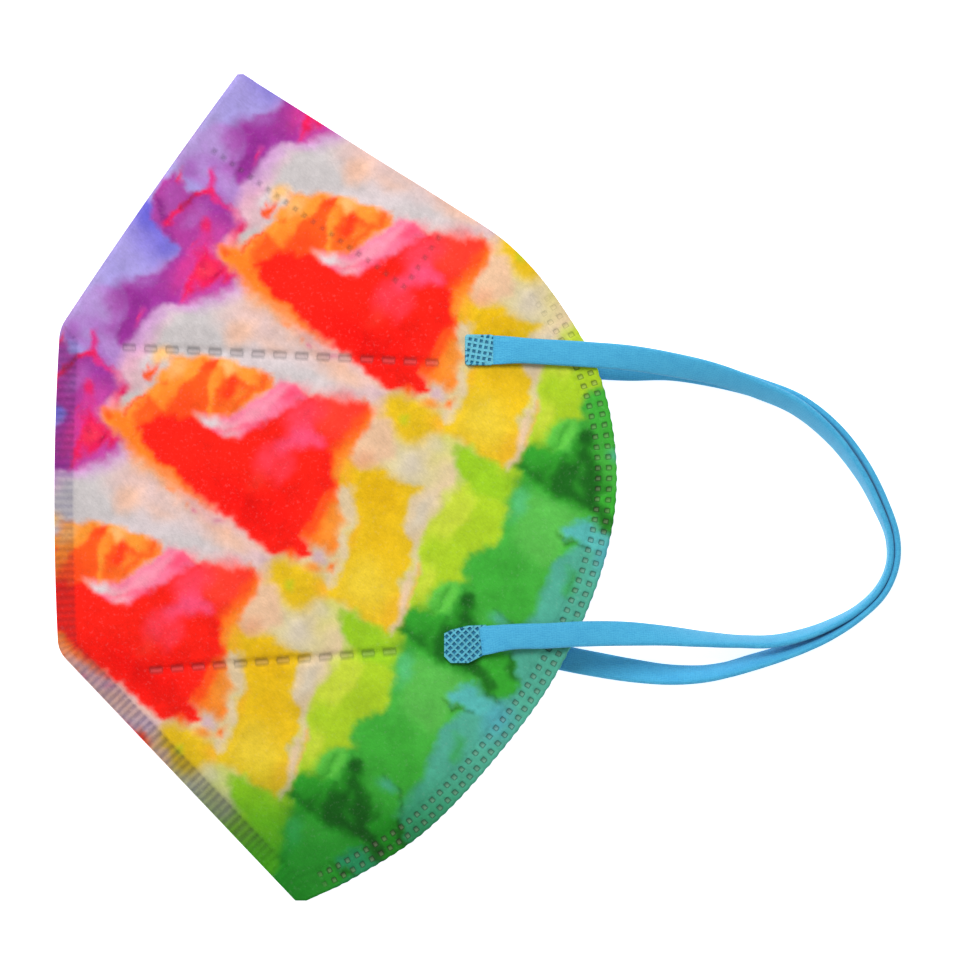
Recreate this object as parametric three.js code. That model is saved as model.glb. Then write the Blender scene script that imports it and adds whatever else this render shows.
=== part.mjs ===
// A disposable respirator of the fold-flat kind, lying on its side, in millimetres, +Z up.
//
// One printed laminate is folded in half at the nose, and its two halves are welded along the
// front and the chin. The cheek edge is open. Each half carries an elastic ear loop, whose flat
// strap ends in two pressed pads. The far half lies on the surface, and the near half faces up.
// The origin is at the middle of the shell's outline, on the surface that it lies on.

import * as THREE from 'three';

// ---------- Driving sizes ----------

const WALL = 1.2; // loft of the laminate
const WELD_THICKNESS = 1.4; // both halves, pressed together by the crimped weld
const WELD_WIDTH = 3.7; // from the edge to the root of the crimped weld
const WELD_STEP = 1.2; // slope from the weld up to the full loft
const FOLD_EDGE = 0.7; // height of the blunt edge of the nose fold
const HEM_WIDTH = 4.4; // pressed band along the cheek edge
const HEM_STEP = 0.5; // slope from the band up to the full loft
const HEM_PRESS = 0.3; // depth by which the band is pressed

const HALF_LENGTH = 79.2; // from the middle to the nose tip, and to the chin tip
const HALF_WIDTH = 53.7; // from the middle to the front, and to the cheek
const EDGE_LIFT = 1.9; // height of the far half's edges above the surface that it lies on
const SEAM_RUN = 15; // from the joined strip down to the flat middle of the far half
const CHEEK_RUN_START = 35; // the same from the cheek edge, where the strap lies under the half
const CHEEK_RUN = 9;
const JOIN_MARGIN = 0.7; // how far the two halves stay joined past the weld
const FOLD_JOIN = 1; // how far they are one at the nose fold
const PUFF = 9; // rise of the near half above its seam
const PUFF_RUN = 52; // from the seam to where the near half is highest
const CHEEK_DROOP = 0.16; // share of its rise that the near half loses towards its free edge
const CHEEK_DROOP_RUN = 22;
const SLIT = 0.1; // least space between the halves where they lie on each other

const STRAP_WIDTH = 4.9;
const STRAP_THICKNESS = 1.2;
const STRAP_STEPS = 38;
const PAD_THICKNESS = 0.8;
const SEAT_GAP = 0.3; // what touching pieces keep between them

// ---------- Outline of the folded shell, seen from above ----------

const NOSE_TIP_WIDTH = 1.8;
const NOSE_TIP_X = -18;
const CHIN_TIP_WIDTH = 3.4;
const CHIN_TIP_X = -5.4;
const FRONT_TOP = new THREE.Vector2(-52.8, 30.4); // corner between the nose fold and the front
const FRONT_BOTTOM = new THREE.Vector2(-53.1, -31.2); // corner between the front and the chin
const FRONT_BOW = new THREE.Vector2(-54.5, 0); // the front bows out by half of this excess
const NOSE_BOW = new THREE.Vector2(-36.1, 55.6);
const CORNER_CUT = 2.2; // length of each side that a corner's round takes

// The cheek edge, from the nose tip round to the chin tip.
const CHEEK_EDGE = [
  { x: -5.2, y: 71.2 },
  { x: 8.4, y: 62.5 },
  { x: 21.2, y: 54.4 },
  { x: 33.5, y: 46 },
  { x: 43.2, y: 34.6 },
  { x: 50.9, y: 20 },
  { x: HALF_WIDTH, y: 2 },
  { x: 50.9, y: -15.6 },
  { x: 42.4, y: -35.2 },
  { x: 30.8, y: -51.4 },
  { x: 17.2, y: -65.8 },
  { x: 3.4, y: -75 },
];

/** A point at a given distance from one point towards another. */
function towards(from, to, distance) {
  return from.clone().add(to.clone().sub(from).setLength(distance));
}

/** The nose fold, the front and the chin seam, from the nose tip to the chin tip. */
function frontOutline() {
  const nose = new THREE.Vector2(NOSE_TIP_X - NOSE_TIP_WIDTH / 2, HALF_LENGTH);
  const chin = new THREE.Vector2(CHIN_TIP_X - CHIN_TIP_WIDTH / 2, -HALF_LENGTH);
  const foldEnd = towards(FRONT_TOP, nose, CORNER_CUT);
  const frontStart = towards(FRONT_TOP, FRONT_BOTTOM, CORNER_CUT);
  const frontEnd = towards(FRONT_BOTTOM, FRONT_TOP, CORNER_CUT);
  const chinStart = towards(FRONT_BOTTOM, chin, CORNER_CUT);
  const path = new THREE.Path();
  path.moveTo(nose.x, nose.y);
  path.quadraticCurveTo(NOSE_BOW.x, NOSE_BOW.y, foldEnd.x, foldEnd.y);
  path.quadraticCurveTo(FRONT_TOP.x, FRONT_TOP.y, frontStart.x, frontStart.y);
  path.quadraticCurveTo(FRONT_BOW.x, FRONT_BOW.y, frontEnd.x, frontEnd.y);
  path.quadraticCurveTo(FRONT_BOTTOM.x, FRONT_BOTTOM.y, chinStart.x, chinStart.y);
  path.lineTo(chin.x, chin.y);
  return path.getPoints(24);
}

/** The free cheek edge, from the nose tip to the chin tip. */
function cheekOutline() {
  const nose = new THREE.Vector2(NOSE_TIP_X + NOSE_TIP_WIDTH / 2, HALF_LENGTH);
  const chin = new THREE.Vector2(CHIN_TIP_X + CHIN_TIP_WIDTH / 2, -HALF_LENGTH);
  const between = CHEEK_EDGE.map((point) => new THREE.Vector2(point.x, point.y));
  return new THREE.SplineCurve([nose, ...between, chin]).getPoints(160);
}

const FRONT = frontOutline();
const CHEEK = cheekOutline();

/** The x of an outline at a height y. Both outlines run down from the nose to the chin. */
function outlineX(outline, y) {
  const next = outline.findIndex((point) => point.y <= y);
  if (next <= 0) return outline[next === 0 ? 0 : outline.length - 1].x;
  const above = outline[next - 1];
  const below = outline[next];
  const share = (above.y - y) / (above.y - below.y || 1);
  return THREE.MathUtils.lerp(above.x, below.x, share);
}

/** The distance from a point to an outline. */
function distanceTo(outline, x, y) {
  const point = new THREE.Vector2(x, y);
  const foot = new THREE.Vector2();
  let nearest = Infinity;
  for (let i = 1; i < outline.length; i += 1) {
    const along = outline[i].clone().sub(outline[i - 1]);
    const share = point.clone().sub(outline[i - 1]).dot(along) / Math.max(along.lengthSq(), 1e-9);
    foot.copy(outline[i - 1]).addScaledVector(along, THREE.MathUtils.clamp(share, 0, 1));
    nearest = Math.min(nearest, foot.distanceTo(point));
  }
  return nearest;
}

// ---------- Heights of the two halves ----------

/** 0 below 0, 1 above 1, and smooth between. */
function ease(t) {
  return THREE.MathUtils.smoothstep(t, 0, 1);
}

// The two pressed crease lines of the near half: y at the middle, slope, and the stretch in x
// over which each is pressed in.
const CREASE_FADE = 5; // run over which a crease line fades at its ends
const CREASES = [
  { y: 24.7, slope: -0.052, from: -42, to: 22, depth: 0.5, width: 1.5 },
  { y: -32.2, slope: 0.083, from: -37, to: 14, depth: 0.7, width: 1.6 },
];

/** The depth that the crease lines are pressed in at a point. */
function creaseDepth(x, y) {
  let depth = 0;
  for (const crease of CREASES) {
    const off = Math.abs(y - crease.y - crease.slope * x);
    const window = ease((x - crease.from) / CREASE_FADE) * ease((crease.to - x) / CREASE_FADE);
    depth += crease.depth * window * ease(1 - off / crease.width);
  }
  return depth;
}

/** 0 on the nose fold, 1 where the front and the chin are welded. */
function weldShare(y) {
  const start = FRONT_TOP.y + 1;
  const run = 4;
  return ease((start - y) / run);
}

/** The width of the strip in which the halves are joined. */
function joinWidth(y) {
  return THREE.MathUtils.lerp(FOLD_JOIN, WELD_WIDTH + JOIN_MARGIN, weldShare(y));
}

/** Height of the far half's outer face: flat on the surface, and lifted at its edges. */
function farLift(y, fromFront, fromCheek) {
  const seam = ease(1 - (fromFront - joinWidth(y)) / SEAM_RUN);
  const cheek = ease((CHEEK_RUN_START - fromCheek) / CHEEK_RUN);
  return EDGE_LIFT * (seam + cheek - seam * cheek);
}

/** Rise of the near half above the seam. */
function nearRise(y, fromFront, fromCheek) {
  const run = THREE.MathUtils.clamp((fromFront - joinWidth(y)) / PUFF_RUN, 0, 1);
  const across = 1 - (1 - run) ** 2;
  const along = 1 - Math.abs(y / (HALF_LENGTH + 1)) ** 2.6;
  const droop = 1 - CHEEK_DROOP * ease(1 - fromCheek / CHEEK_DROOP_RUN);
  return PUFF * across * along * droop;
}

/** Heights of the four faces of the shell over one point of its outline. */
function faces(x, y) {
  const fromFront = distanceTo(FRONT, x, y);
  const fromCheek = distanceTo(CHEEK, x, y);
  const weld = weldShare(y);
  const far = farLift(y, fromFront, fromCheek) + WALL;
  const near = EDGE_LIFT + WALL + nearRise(y, fromFront, fromCheek);
  const edge = THREE.MathUtils.lerp(FOLD_EDGE, WELD_THICKNESS, weld) / 2;
  const full = ease((fromFront - WELD_WIDTH * weld) / WELD_STEP);
  const loft = THREE.MathUtils.lerp(edge, WALL, full);
  const hem = HEM_PRESS * ease((HEM_WIDTH + HEM_STEP - fromCheek) / HEM_STEP) * full;
  return {
    farOuter: far - loft + hem,
    farInner: far,
    nearInner: Math.max(near, far + SLIT),
    nearOuter: near + loft - hem - creaseDepth(x, y) * full,
  };
}

// ---------- The folded shell ----------

// Rows run from the front outline to the cheek edge. Each entry gives the y of a row's two ends
// and the number of equal steps down to the next entry.
const ROWS = [
  { front: HALF_LENGTH, cheek: HALF_LENGTH, steps: 2 },
  { front: 77, cheek: 76.6, steps: 2 },
  { front: 71, cheek: 69, steps: 7 },
  { front: 34, cheek: 30, steps: 1 },
  { front: 31.8, cheek: 27.2, steps: 1 },
  { front: 29.2, cheek: 23.6, steps: 1 }, // upper lip of the upper crease
  { front: 27.5, cheek: 22.1, steps: 1 }, // its floor
  { front: 25.8, cheek: 20.6, steps: 9 }, // its lower lip
  { front: -28.9, cheek: -22.6, steps: 1 },
  { front: -31.2, cheek: -24.6, steps: 1 },
  { front: -34.9, cheek: -26.4, steps: 1 }, // upper lip of the lower crease
  { front: -36.6, cheek: -28, steps: 1 }, // its floor
  { front: -38.3, cheek: -29.6, steps: 7 }, // its lower lip
  { front: -72, cheek: -70.4, steps: 2 },
  { front: -77, cheek: -76.8, steps: 2 },
  { front: -HALF_LENGTH, cheek: -HALF_LENGTH, steps: 0 },
];
const BETWEEN = [0.05, 0.13, 0.23, 0.34, 0.46, 0.58, 0.7, 0.81, 0.91]; // columns of the panel

/** The y of both ends of every row. */
function rowEnds() {
  const ends = [];
  ROWS.forEach((row, index) => {
    const next = ROWS[index + 1] ?? row;
    const count = Math.max(row.steps, 1);
    for (let step = 0; step < count; step += 1) {
      const share = step / count;
      ends.push({
        front: THREE.MathUtils.lerp(row.front, next.front, share),
        cheek: THREE.MathUtils.lerp(row.cheek, next.cheek, share),
      });
    }
  });
  return ends;
}

/** How much longer a row's way across a band is than the band is wide. */
function skew(outline, y) {
  const above = outlineX(outline, Math.min(y + 0.5, HALF_LENGTH));
  const below = outlineX(outline, Math.max(y - 0.5, -HALF_LENGTH));
  return Math.min(Math.hypot(1, above - below), 2.5);
}

/** One closed section of the shell: outer faces, one free edge, inner faces, other free edge. */
function section(row) {
  const front = new THREE.Vector2(outlineX(FRONT, row.front), row.front);
  const cheek = new THREE.Vector2(outlineX(CHEEK, row.cheek), row.cheek);
  const width = front.distanceTo(cheek);
  const frontSkew = skew(FRONT, row.front) / width;
  const cheekSkew = skew(CHEEK, row.cheek) / width;
  const weld = WELD_WIDTH * frontSkew;
  const step = (WELD_WIDTH + WELD_STEP) * frontSkew;
  const hem = HEM_WIDTH * cheekSkew;
  const hemStep = (HEM_WIDTH + HEM_STEP) * cheekSkew;
  const squeeze = Math.min(1, 0.75 / (step + hemStep)); // short rows near the two tips
  const first = step * squeeze;
  const last = 1 - hemStep * squeeze;
  const between = BETWEEN.map((share) => THREE.MathUtils.lerp(first, last, share));
  const bands = [first, ...between, last, 1 - hem * squeeze, 1];
  const outer = [0, 0.4 * frontSkew * squeeze, weld * squeeze, ...bands];
  const inner = [joinWidth(row.front) * frontSkew * squeeze * 1.02, ...bands.slice(1)];

  const at = (share, face) => {
    const point = front.clone().lerp(cheek, share);
    return new THREE.Vector3(point.x, point.y, faces(point.x, point.y)[face]);
  };
  const corner = at(inner[0], 'farInner');
  return [
    ...outer.toReversed().map((share) => at(share, 'nearOuter')),
    ...outer.map((share) => at(share, 'farOuter')),
    ...inner.slice(1).toReversed().map((share) => at(share, 'farInner')),
    corner,
    ...inner.slice(1).map((share) => at(share, 'nearInner')),
  ];
}

/** A closed solid through sections that all have the same number of points. */
function loft(sections) {
  const size = sections[0].length;
  const positions = sections.flat().flatMap((point) => [point.x, point.y, point.z]);
  const index = [];
  for (let row = 1; row < sections.length; row += 1) {
    for (let i = 0; i < size; i += 1) {
      const a = (row - 1) * size + i;
      const b = (row - 1) * size + ((i + 1) % size);
      index.push(a, b, a + size, b, b + size, a + size);
    }
  }
  const cap = (row, flip) => {
    const contour = sections[row].map((point) => new THREE.Vector2(point.x, point.z));
    for (const face of THREE.ShapeUtils.triangulateShape(contour, [])) {
      const corners = face.map((corner) => corner + row * size);
      index.push(...(flip ? corners.toReversed() : corners));
    }
  };
  cap(0, true);
  cap(sections.length - 1, false);
  const geometry = new THREE.BufferGeometry();
  geometry.setAttribute('position', new THREE.Float32BufferAttribute(positions, 3));
  geometry.setIndex(index);
  geometry.computeVertexNormals();
  return geometry;
}

// ---------- Ear loops ----------

/** The route of a flat strap. Its roll is 0 where it lies flat, and 90 where it stands on edge. */
class StrapRoute extends THREE.CatmullRomCurve3 {
  constructor(route) {
    super(route.map((point) => new THREE.Vector3(point.x, point.y, point.z)));
    this.rolls = route.map((point) => THREE.MathUtils.degToRad(point.roll));
  }

  /** The roll at a share of the length, between those of the points on either side. */
  rollAt(share) {
    const place = this.getUtoTmapping(share) * (this.rolls.length - 1);
    const before = Math.min(Math.floor(place), this.rolls.length - 2);
    return THREE.MathUtils.lerp(this.rolls[before], this.rolls[before + 1], place - before);
  }

  /** The strap's own frames, which the extrusion asks its path for. */
  computeFrenetFrames(segments) {
    const up = new THREE.Vector3(0, 0, 1);
    const frames = { tangents: [], normals: [], binormals: [] };
    for (let i = 0; i <= segments; i += 1) {
      const tangent = this.getTangentAt(i / segments);
      const side = new THREE.Vector3().crossVectors(tangent, up).normalize();
      const normal = new THREE.Vector3().crossVectors(side, tangent);
      normal.applyAxisAngle(tangent, this.rollAt(i / segments));
      frames.tangents.push(tangent);
      frames.normals.push(normal);
      frames.binormals.push(new THREE.Vector3().crossVectors(tangent, normal));
    }
    return frames;
  }
}

/** The strap's section: a flat band with its four long edges taken off. */
function strapSection() {
  const thick = STRAP_THICKNESS / 2;
  const wide = STRAP_WIDTH / 2;
  const cut = 0.3;
  const corners = [
    [thick, cut - wide],
    [thick, wide - cut],
    [thick - cut, wide],
    [cut - thick, wide],
    [-thick, wide - cut],
    [-thick, cut - wide],
    [cut - thick, -wide],
    [thick - cut, -wide],
  ];
  return new THREE.Shape(corners.map(([x, y]) => new THREE.Vector2(x, y)));
}

/** The solid of one strap along its route. */
function strap(route) {
  return new THREE.ExtrudeGeometry(strapSection(), {
    steps: STRAP_STEPS,
    bevelEnabled: false,
    extrudePath: new StrapRoute(route),
  });
}

// The near loop's strap, from its upper pad out over the cheek edge, down to the surface, round
// and back up to its lower pad.
const NEAR_ROUTE = [
  { x: 32, y: 26, z: 13.8, roll: 0 },
  { x: 40, y: 25.6, z: 13.3, roll: 0 },
  { x: 48, y: 25.3, z: 12.5, roll: 0 },
  { x: 56, y: 24.7, z: 11.2, roll: 10 },
  { x: 64.5, y: 23.4, z: 9.4, roll: 24 },
  { x: 73, y: 21.6, z: 7.7, roll: 38 },
  { x: 81, y: 18.8, z: 6.2, roll: 49 },
  { x: 88.5, y: 15.1, z: 4.8, roll: 56 },
  { x: 95.4, y: 9.1, z: 3.5, roll: 65 },
  { x: 100.6, y: 2.2, z: 2.9, roll: 74 },
  { x: 103.7, y: -3.8, z: 2.6, roll: 80 },
  { x: 105.9, y: -9.4, z: 2.55, roll: 87 },
  { x: 106, y: -14.7, z: 2.55, roll: 90 },
  { x: 104, y: -19.2, z: 2.55, roll: 88 },
  { x: 99.9, y: -23.2, z: 2.6, roll: 85 },
  { x: 94.7, y: -26.1, z: 2.7, roll: 80 },
  { x: 89.8, y: -28, z: 3, roll: 77 },
  { x: 84, y: -29.3, z: 3.6, roll: 74 },
  { x: 77, y: -29.5, z: 4.8, roll: 69 },
  { x: 70.3, y: -29, z: 6.4, roll: 60 },
  { x: 63, y: -28.3, z: 8.4, roll: 44 },
  { x: 55.7, y: -27.9, z: 10.3, roll: 22 },
  { x: 47.4, y: -27.9, z: 12.1, roll: 4 },
  { x: 40, y: -28.4, z: 13, roll: 0 },
  { x: 34.5, y: -28.9, z: 13.4, roll: 0 },
  { x: 29.4, y: -29.4, z: 13.7, roll: 0 },
];

// The far loop's strap lies on the surface all the way, just outside the near one at its end.
const FAR_ROUTE = [
  { x: 32, y: 25.6, z: 0.9, roll: 0 },
  { x: 40, y: 24.4, z: 0.8, roll: 0 },
  { x: 48, y: 23.4, z: 0.7, roll: 0 },
  { x: 56, y: 22.9, z: 0.8, roll: 2 },
  { x: 64.5, y: 22.9, z: 1.25, roll: 14 },
  { x: 73, y: 21.4, z: 1.8, roll: 30 },
  { x: 81.2, y: 19.1, z: 2.2, roll: 44 },
  { x: 88.9, y: 16.4, z: 2.5, roll: 58 },
  { x: 95.8, y: 11.5, z: 2.6, roll: 70 },
  { x: 101.3, y: 5, z: 2.6, roll: 80 },
  { x: 105.8, y: -3.4, z: 2.5, roll: 88 },
  { x: 107.8, y: -9.6, z: 2.5, roll: 90 },
  { x: 107.7, y: -14.9, z: 2.5, roll: 90 },
  { x: 105.4, y: -20.3, z: 2.5, roll: 88 },
  { x: 100.6, y: -25, z: 2.55, roll: 85 },
  { x: 94.9, y: -28.6, z: 2.6, roll: 80 },
  { x: 89.9, y: -30.8, z: 2.6, roll: 73 },
  { x: 85, y: -32.5, z: 2.6, roll: 67 },
  { x: 80, y: -33.9, z: 2.5, roll: 64 },
  { x: 75.1, y: -35.1, z: 2.5, roll: 60 },
  { x: 70.3, y: -35.9, z: 2.4, roll: 54 },
  { x: 64, y: -36, z: 2.15, roll: 42 },
  { x: 57.5, y: -35.3, z: 1.75, roll: 28 },
  { x: 50.8, y: -34.2, z: 1.25, roll: 14 },
  { x: 44, y: -32.9, z: 0.85, roll: 4 },
  { x: 37, y: -31.3, z: 0.8, roll: 0 },
  { x: 29.4, y: -29.9, z: 0.9, roll: 0 },
];

// ---------- Pads ----------

const UPPER_PAD = { x: 28.3, y: 26.1, length: 6.6, width: 6.1, turn: -3 };
const LOWER_PAD = { x: 25.1, y: -29.8, length: 7.6, width: 6.8, turn: 4 };

/** A pressed strap end: a thin plate with round corners, centred on its own origin. */
function padPlate(pad) {
  const half = { x: pad.length / 2, y: pad.width / 2 };
  const round = 1.6;
  const shape = new THREE.Shape();
  shape.moveTo(round - half.x, -half.y);
  shape.lineTo(half.x - round, -half.y);
  shape.quadraticCurveTo(half.x, -half.y, half.x, round - half.y);
  shape.lineTo(half.x, half.y - round);
  shape.quadraticCurveTo(half.x, half.y, half.x - round, half.y);
  shape.lineTo(round - half.x, half.y);
  shape.quadraticCurveTo(-half.x, half.y, -half.x, half.y - round);
  shape.lineTo(-half.x, round - half.y);
  shape.quadraticCurveTo(-half.x, -half.y, round - half.x, -half.y);
  const options = { depth: PAD_THICKNESS, bevelEnabled: false, curveSegments: 3 };
  const plate = new THREE.ExtrudeGeometry(shape, options);
  plate.translate(0, 0, -PAD_THICKNESS / 2);
  return plate;
}

/** Lays a pad on one outer face of the shell: side is 1 on the near half, -1 on the far half. */
function layPad(mesh, pad, face, side) {
  const reach = 3;
  const height = (x, y) => faces(x, y)[face];
  const middle = height(pad.x, pad.y);
  const slopeX = (height(pad.x + reach, pad.y) - height(pad.x - reach, pad.y)) / (2 * reach);
  const slopeY = (height(pad.x, pad.y + reach) - height(pad.x, pad.y - reach)) / (2 * reach);
  const normal = new THREE.Vector3(-slopeX, -slopeY, 1).normalize();
  mesh.quaternion.setFromUnitVectors(new THREE.Vector3(0, 0, 1), normal);
  mesh.rotateZ(THREE.MathUtils.degToRad(pad.turn));
  mesh.position.set(pad.x, pad.y, middle + side * (PAD_THICKNESS / 2 + SEAT_GAP));
}

// ---------- The assembly ----------

const printed = { color: 0xe8795a, roughness: 0.9, metalness: 0 };
const elastic = { color: 0x4cb2dc, roughness: 0.85, metalness: 0 };
const respirator = new THREE.Group();

/** Adds one named piece with its own material. */
function add(name, geometry, finish) {
  const mesh = new THREE.Mesh(geometry, new THREE.MeshStandardMaterial(finish));
  mesh.name = name;
  respirator.add(mesh);
  return mesh;
}

add('folded_shell', loft(rowEnds().map(section)), printed);
layPad(add('near_upper_pad', padPlate(UPPER_PAD), elastic), UPPER_PAD, 'nearOuter', 1);
layPad(add('near_lower_pad', padPlate(LOWER_PAD), elastic), LOWER_PAD, 'nearOuter', 1);
layPad(add('far_upper_pad', padPlate(UPPER_PAD), elastic), UPPER_PAD, 'farOuter', -1);
layPad(add('far_lower_pad', padPlate(LOWER_PAD), elastic), LOWER_PAD, 'farOuter', -1);
add('near_ear_loop', strap(NEAR_ROUTE), elastic);
add('far_ear_loop', strap(FAR_ROUTE), elastic);

export default respirator;
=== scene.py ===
"""The looks of a disposable fold-flat respirator that lies on its side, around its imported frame.

The printed laminate is one sheet, folded at the nose and welded along the front and the chin.
Its outline and the heights of its two halves repeat the construction's sizes, and the relief of
the crimped weld, the hem dots, the creases and the nose pocket is modelled on top of them. The
two ear loops are flat elastic cords along the construction's routes, with pressed waffle pads.
Sizes are in millimetres, and MM turns them into the frame's metres where a mesh is made.
"""

import logging
import math
from dataclasses import dataclass, field, replace
from enum import Enum

import bpy
import numpy as np
from mathutils import Matrix, Vector
from mathutils.geometry import delaunay_2d_cdt
from mathutils.kdtree import KDTree

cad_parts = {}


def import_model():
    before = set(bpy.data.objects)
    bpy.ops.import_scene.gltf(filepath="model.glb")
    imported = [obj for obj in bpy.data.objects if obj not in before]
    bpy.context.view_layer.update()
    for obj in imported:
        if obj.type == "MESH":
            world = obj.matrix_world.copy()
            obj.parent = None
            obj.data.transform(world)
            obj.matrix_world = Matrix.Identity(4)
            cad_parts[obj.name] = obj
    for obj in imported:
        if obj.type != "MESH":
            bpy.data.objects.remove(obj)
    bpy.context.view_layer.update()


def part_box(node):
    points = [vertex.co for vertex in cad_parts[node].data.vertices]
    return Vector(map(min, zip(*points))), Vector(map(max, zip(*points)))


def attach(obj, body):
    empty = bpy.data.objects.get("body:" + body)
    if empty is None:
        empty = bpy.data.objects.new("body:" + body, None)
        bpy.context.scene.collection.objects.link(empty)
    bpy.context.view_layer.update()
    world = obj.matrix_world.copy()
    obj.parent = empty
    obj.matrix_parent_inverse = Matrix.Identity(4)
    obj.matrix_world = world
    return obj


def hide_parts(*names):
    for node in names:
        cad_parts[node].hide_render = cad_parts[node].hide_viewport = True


log = logging.getLogger("respirator")

MM = 0.001
BODY = "root"

Array = np.ndarray
Socket = bpy.types.NodeSocket
Point = tuple[float, float]
Triple = tuple[float, float, float]
Colour = Triple


# ---------------------------------------------------------------- small helpers


def linear(colour: Colour) -> tuple[float, float, float, float]:
    """A screen colour of 0 to 255 as the linear colour that a shader takes.

    Args:
        colour: red, green and blue, from 0 to 255.

    Returns:
        Linear red, green, blue and an alpha of 1.
    """
    shares = [channel / 255 for channel in colour]
    lights = [share / 12.92 if share <= 0.04045 else ((share + 0.055) / 1.055) ** 2.4 for share in shares]
    return (lights[0], lights[1], lights[2], 1.0)


def ease(value: Array) -> Array:
    """0 below 0, 1 above 1, and smooth between."""
    share = np.clip(value, 0, 1)
    return share * share * (3 - 2 * share)


def mix(low: Array | float, high: Array | float, share: Array | float) -> Array | float:
    """The value at a share of the way from low to high."""
    return low + (high - low) * share


def deselect() -> None:
    """Leaves nothing selected, because an operator acts on all that is selected."""
    if bpy.context.object and bpy.context.object.mode != "OBJECT":
        bpy.ops.object.mode_set(mode="OBJECT")
    bpy.ops.object.select_all(action="DESELECT")


# ---------------------------------------------------------------- shader building


@dataclass(frozen=True)
class Grain:
    """A noise of a finish: its scale for each millimetre, its layers and how rough they are."""

    scale: float
    detail: float
    rough: float


class Shader:
    """A material under construction, with one call for each kind of node that the finishes use."""

    def __init__(self, name: str) -> None:
        """Starts a material.

        Args:
            name: the material's name.
        """
        self.material = bpy.data.materials.new(name)
        self.material.use_nodes = True
        self.tree = self.material.node_tree
        self.surface = self.tree.nodes["Principled BSDF"].inputs

    def put(self, socket: Socket, value: object) -> None:
        """Links a socket to another one, or sets it to a constant.

        Args:
            socket: the input.
            value: an output socket, or a number, vector or colour.
        """
        if isinstance(value, Socket):
            self.tree.links.new(value, socket)
        else:
            socket.default_value = value

    def node(self, kind: str, inputs: dict[str | int, object], **settings: str) -> bpy.types.ShaderNode:
        """Adds a node.

        Args:
            kind: the kind of node, without the word that all shader nodes start with.
            inputs: a socket or constant for each input, by its name or number.
            settings: the node's own settings.

        Returns:
            The node.
        """
        node = self.tree.nodes.new("ShaderNode" + kind)
        for name, setting in settings.items():
            setattr(node, name, setting)
        for name, value in inputs.items():
            self.put(node.inputs[name], value)
        return node

    def math(self, operation: str, *values: object) -> Socket:
        """The result of an operation on sockets or numbers."""
        return self.node("Math", dict(enumerate(values)), operation=operation).outputs[0]

    def times(self, first: object, second: object) -> Socket:
        """The product of two sockets or numbers."""
        return self.math("MULTIPLY", first, second)

    def stretch(self, place: Socket, factors: Triple) -> Socket:
        """A place multiplied by a factor for each axis."""
        return self.node("VectorMath", {0: place, 1: factors}, operation="MULTIPLY").outputs[0]

    def in_mm(self, place: Socket) -> Socket:
        """A place in metres, turned into millimetres."""
        return self.node("VectorMath", {0: place, "Scale": 1 / MM}, operation="SCALE").outputs[0]

    def split(self, vector: Socket) -> tuple[Socket, ...]:
        """The x, y and z of a vector."""
        return tuple(self.node("SeparateXYZ", {0: vector}).outputs)

    def join(self, x: object, y: object, z: object) -> Socket:
        """A vector from its x, y and z."""
        return self.node("CombineXYZ", {0: x, 1: y, 2: z}).outputs[0]

    def blend(self, share: object, first: object, second: object, how: str = "MIX") -> Socket:
        """Two colours mixed by a share, where 0 gives the first and 1 the second."""
        inputs = {"Factor": share, 6: first, 7: second}
        return self.node("Mix", inputs, data_type="RGBA", blend_type=how).outputs[2]

    def span(self, value: object, low: float, high: float, start: float = 0.0, end: float = 1.0) -> Socket:
        """A smooth run from start, where the value is low, to end, where it is high."""
        inputs = {"Value": value, "From Min": low, "From Max": high, "To Min": start, "To Max": end}
        return self.node("MapRange", inputs, interpolation_type="SMOOTHSTEP").outputs[0]

    def noise(self, place: Socket, grain: Grain) -> Socket:
        """The value of a noise texture."""
        inputs = {"Vector": place, "Scale": grain.scale, "Detail": grain.detail, "Roughness": grain.rough}
        return self.node("TexNoise", inputs).outputs[0]

    def shaded(self, colour: Socket, value: Socket, ends: Point, shades: Point) -> Socket:
        """A colour multiplied by the grey that shades give between the two ends of a noise's value."""
        grey = self.span(value, *ends, *shades)
        return self.blend(1.0, colour, self.join(grey, grey, grey), "MULTIPLY")

    def attribute(self, name: str, result: str = "Fac") -> Socket:
        """A mesh attribute: its value, or the output that result names."""
        return self.node("Attribute", {}, attribute_name=name).outputs[result]

    def uv(self, name: str) -> Socket:
        """The place on a UV map, in millimetres."""
        return self.in_mm(self.node("UVMap", {}, uv_map=name).outputs[0])

    def place(self) -> Socket:
        """Object coordinates, in millimetres."""
        return self.in_mm(self.node("TexCoord", {}).outputs["Object"])

    def finish(self, colour: object, roughness: float, gloss: float) -> bpy.types.Material:
        """Sets the surface's look.

        Args:
            colour, roughness, gloss: what the surface gets.

        Returns:
            The material.
        """
        for name, value in (("Base Color", colour), ("Roughness", roughness), ("Specular IOR Level", gloss)):
            self.put(self.surface[name], value)
        return self.material

    def bump(self, height: Socket, distance: float) -> None:
        """Makes the surface uneven, where a height of 1 stands for the distance in millimetres."""
        node = self.node("Bump", {"Strength": 1.0, "Distance": distance * MM, "Height": height})
        self.put(self.surface["Normal"], node.outputs[0])


# ---------------------------------------------------------------- the tie-dye print


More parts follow.
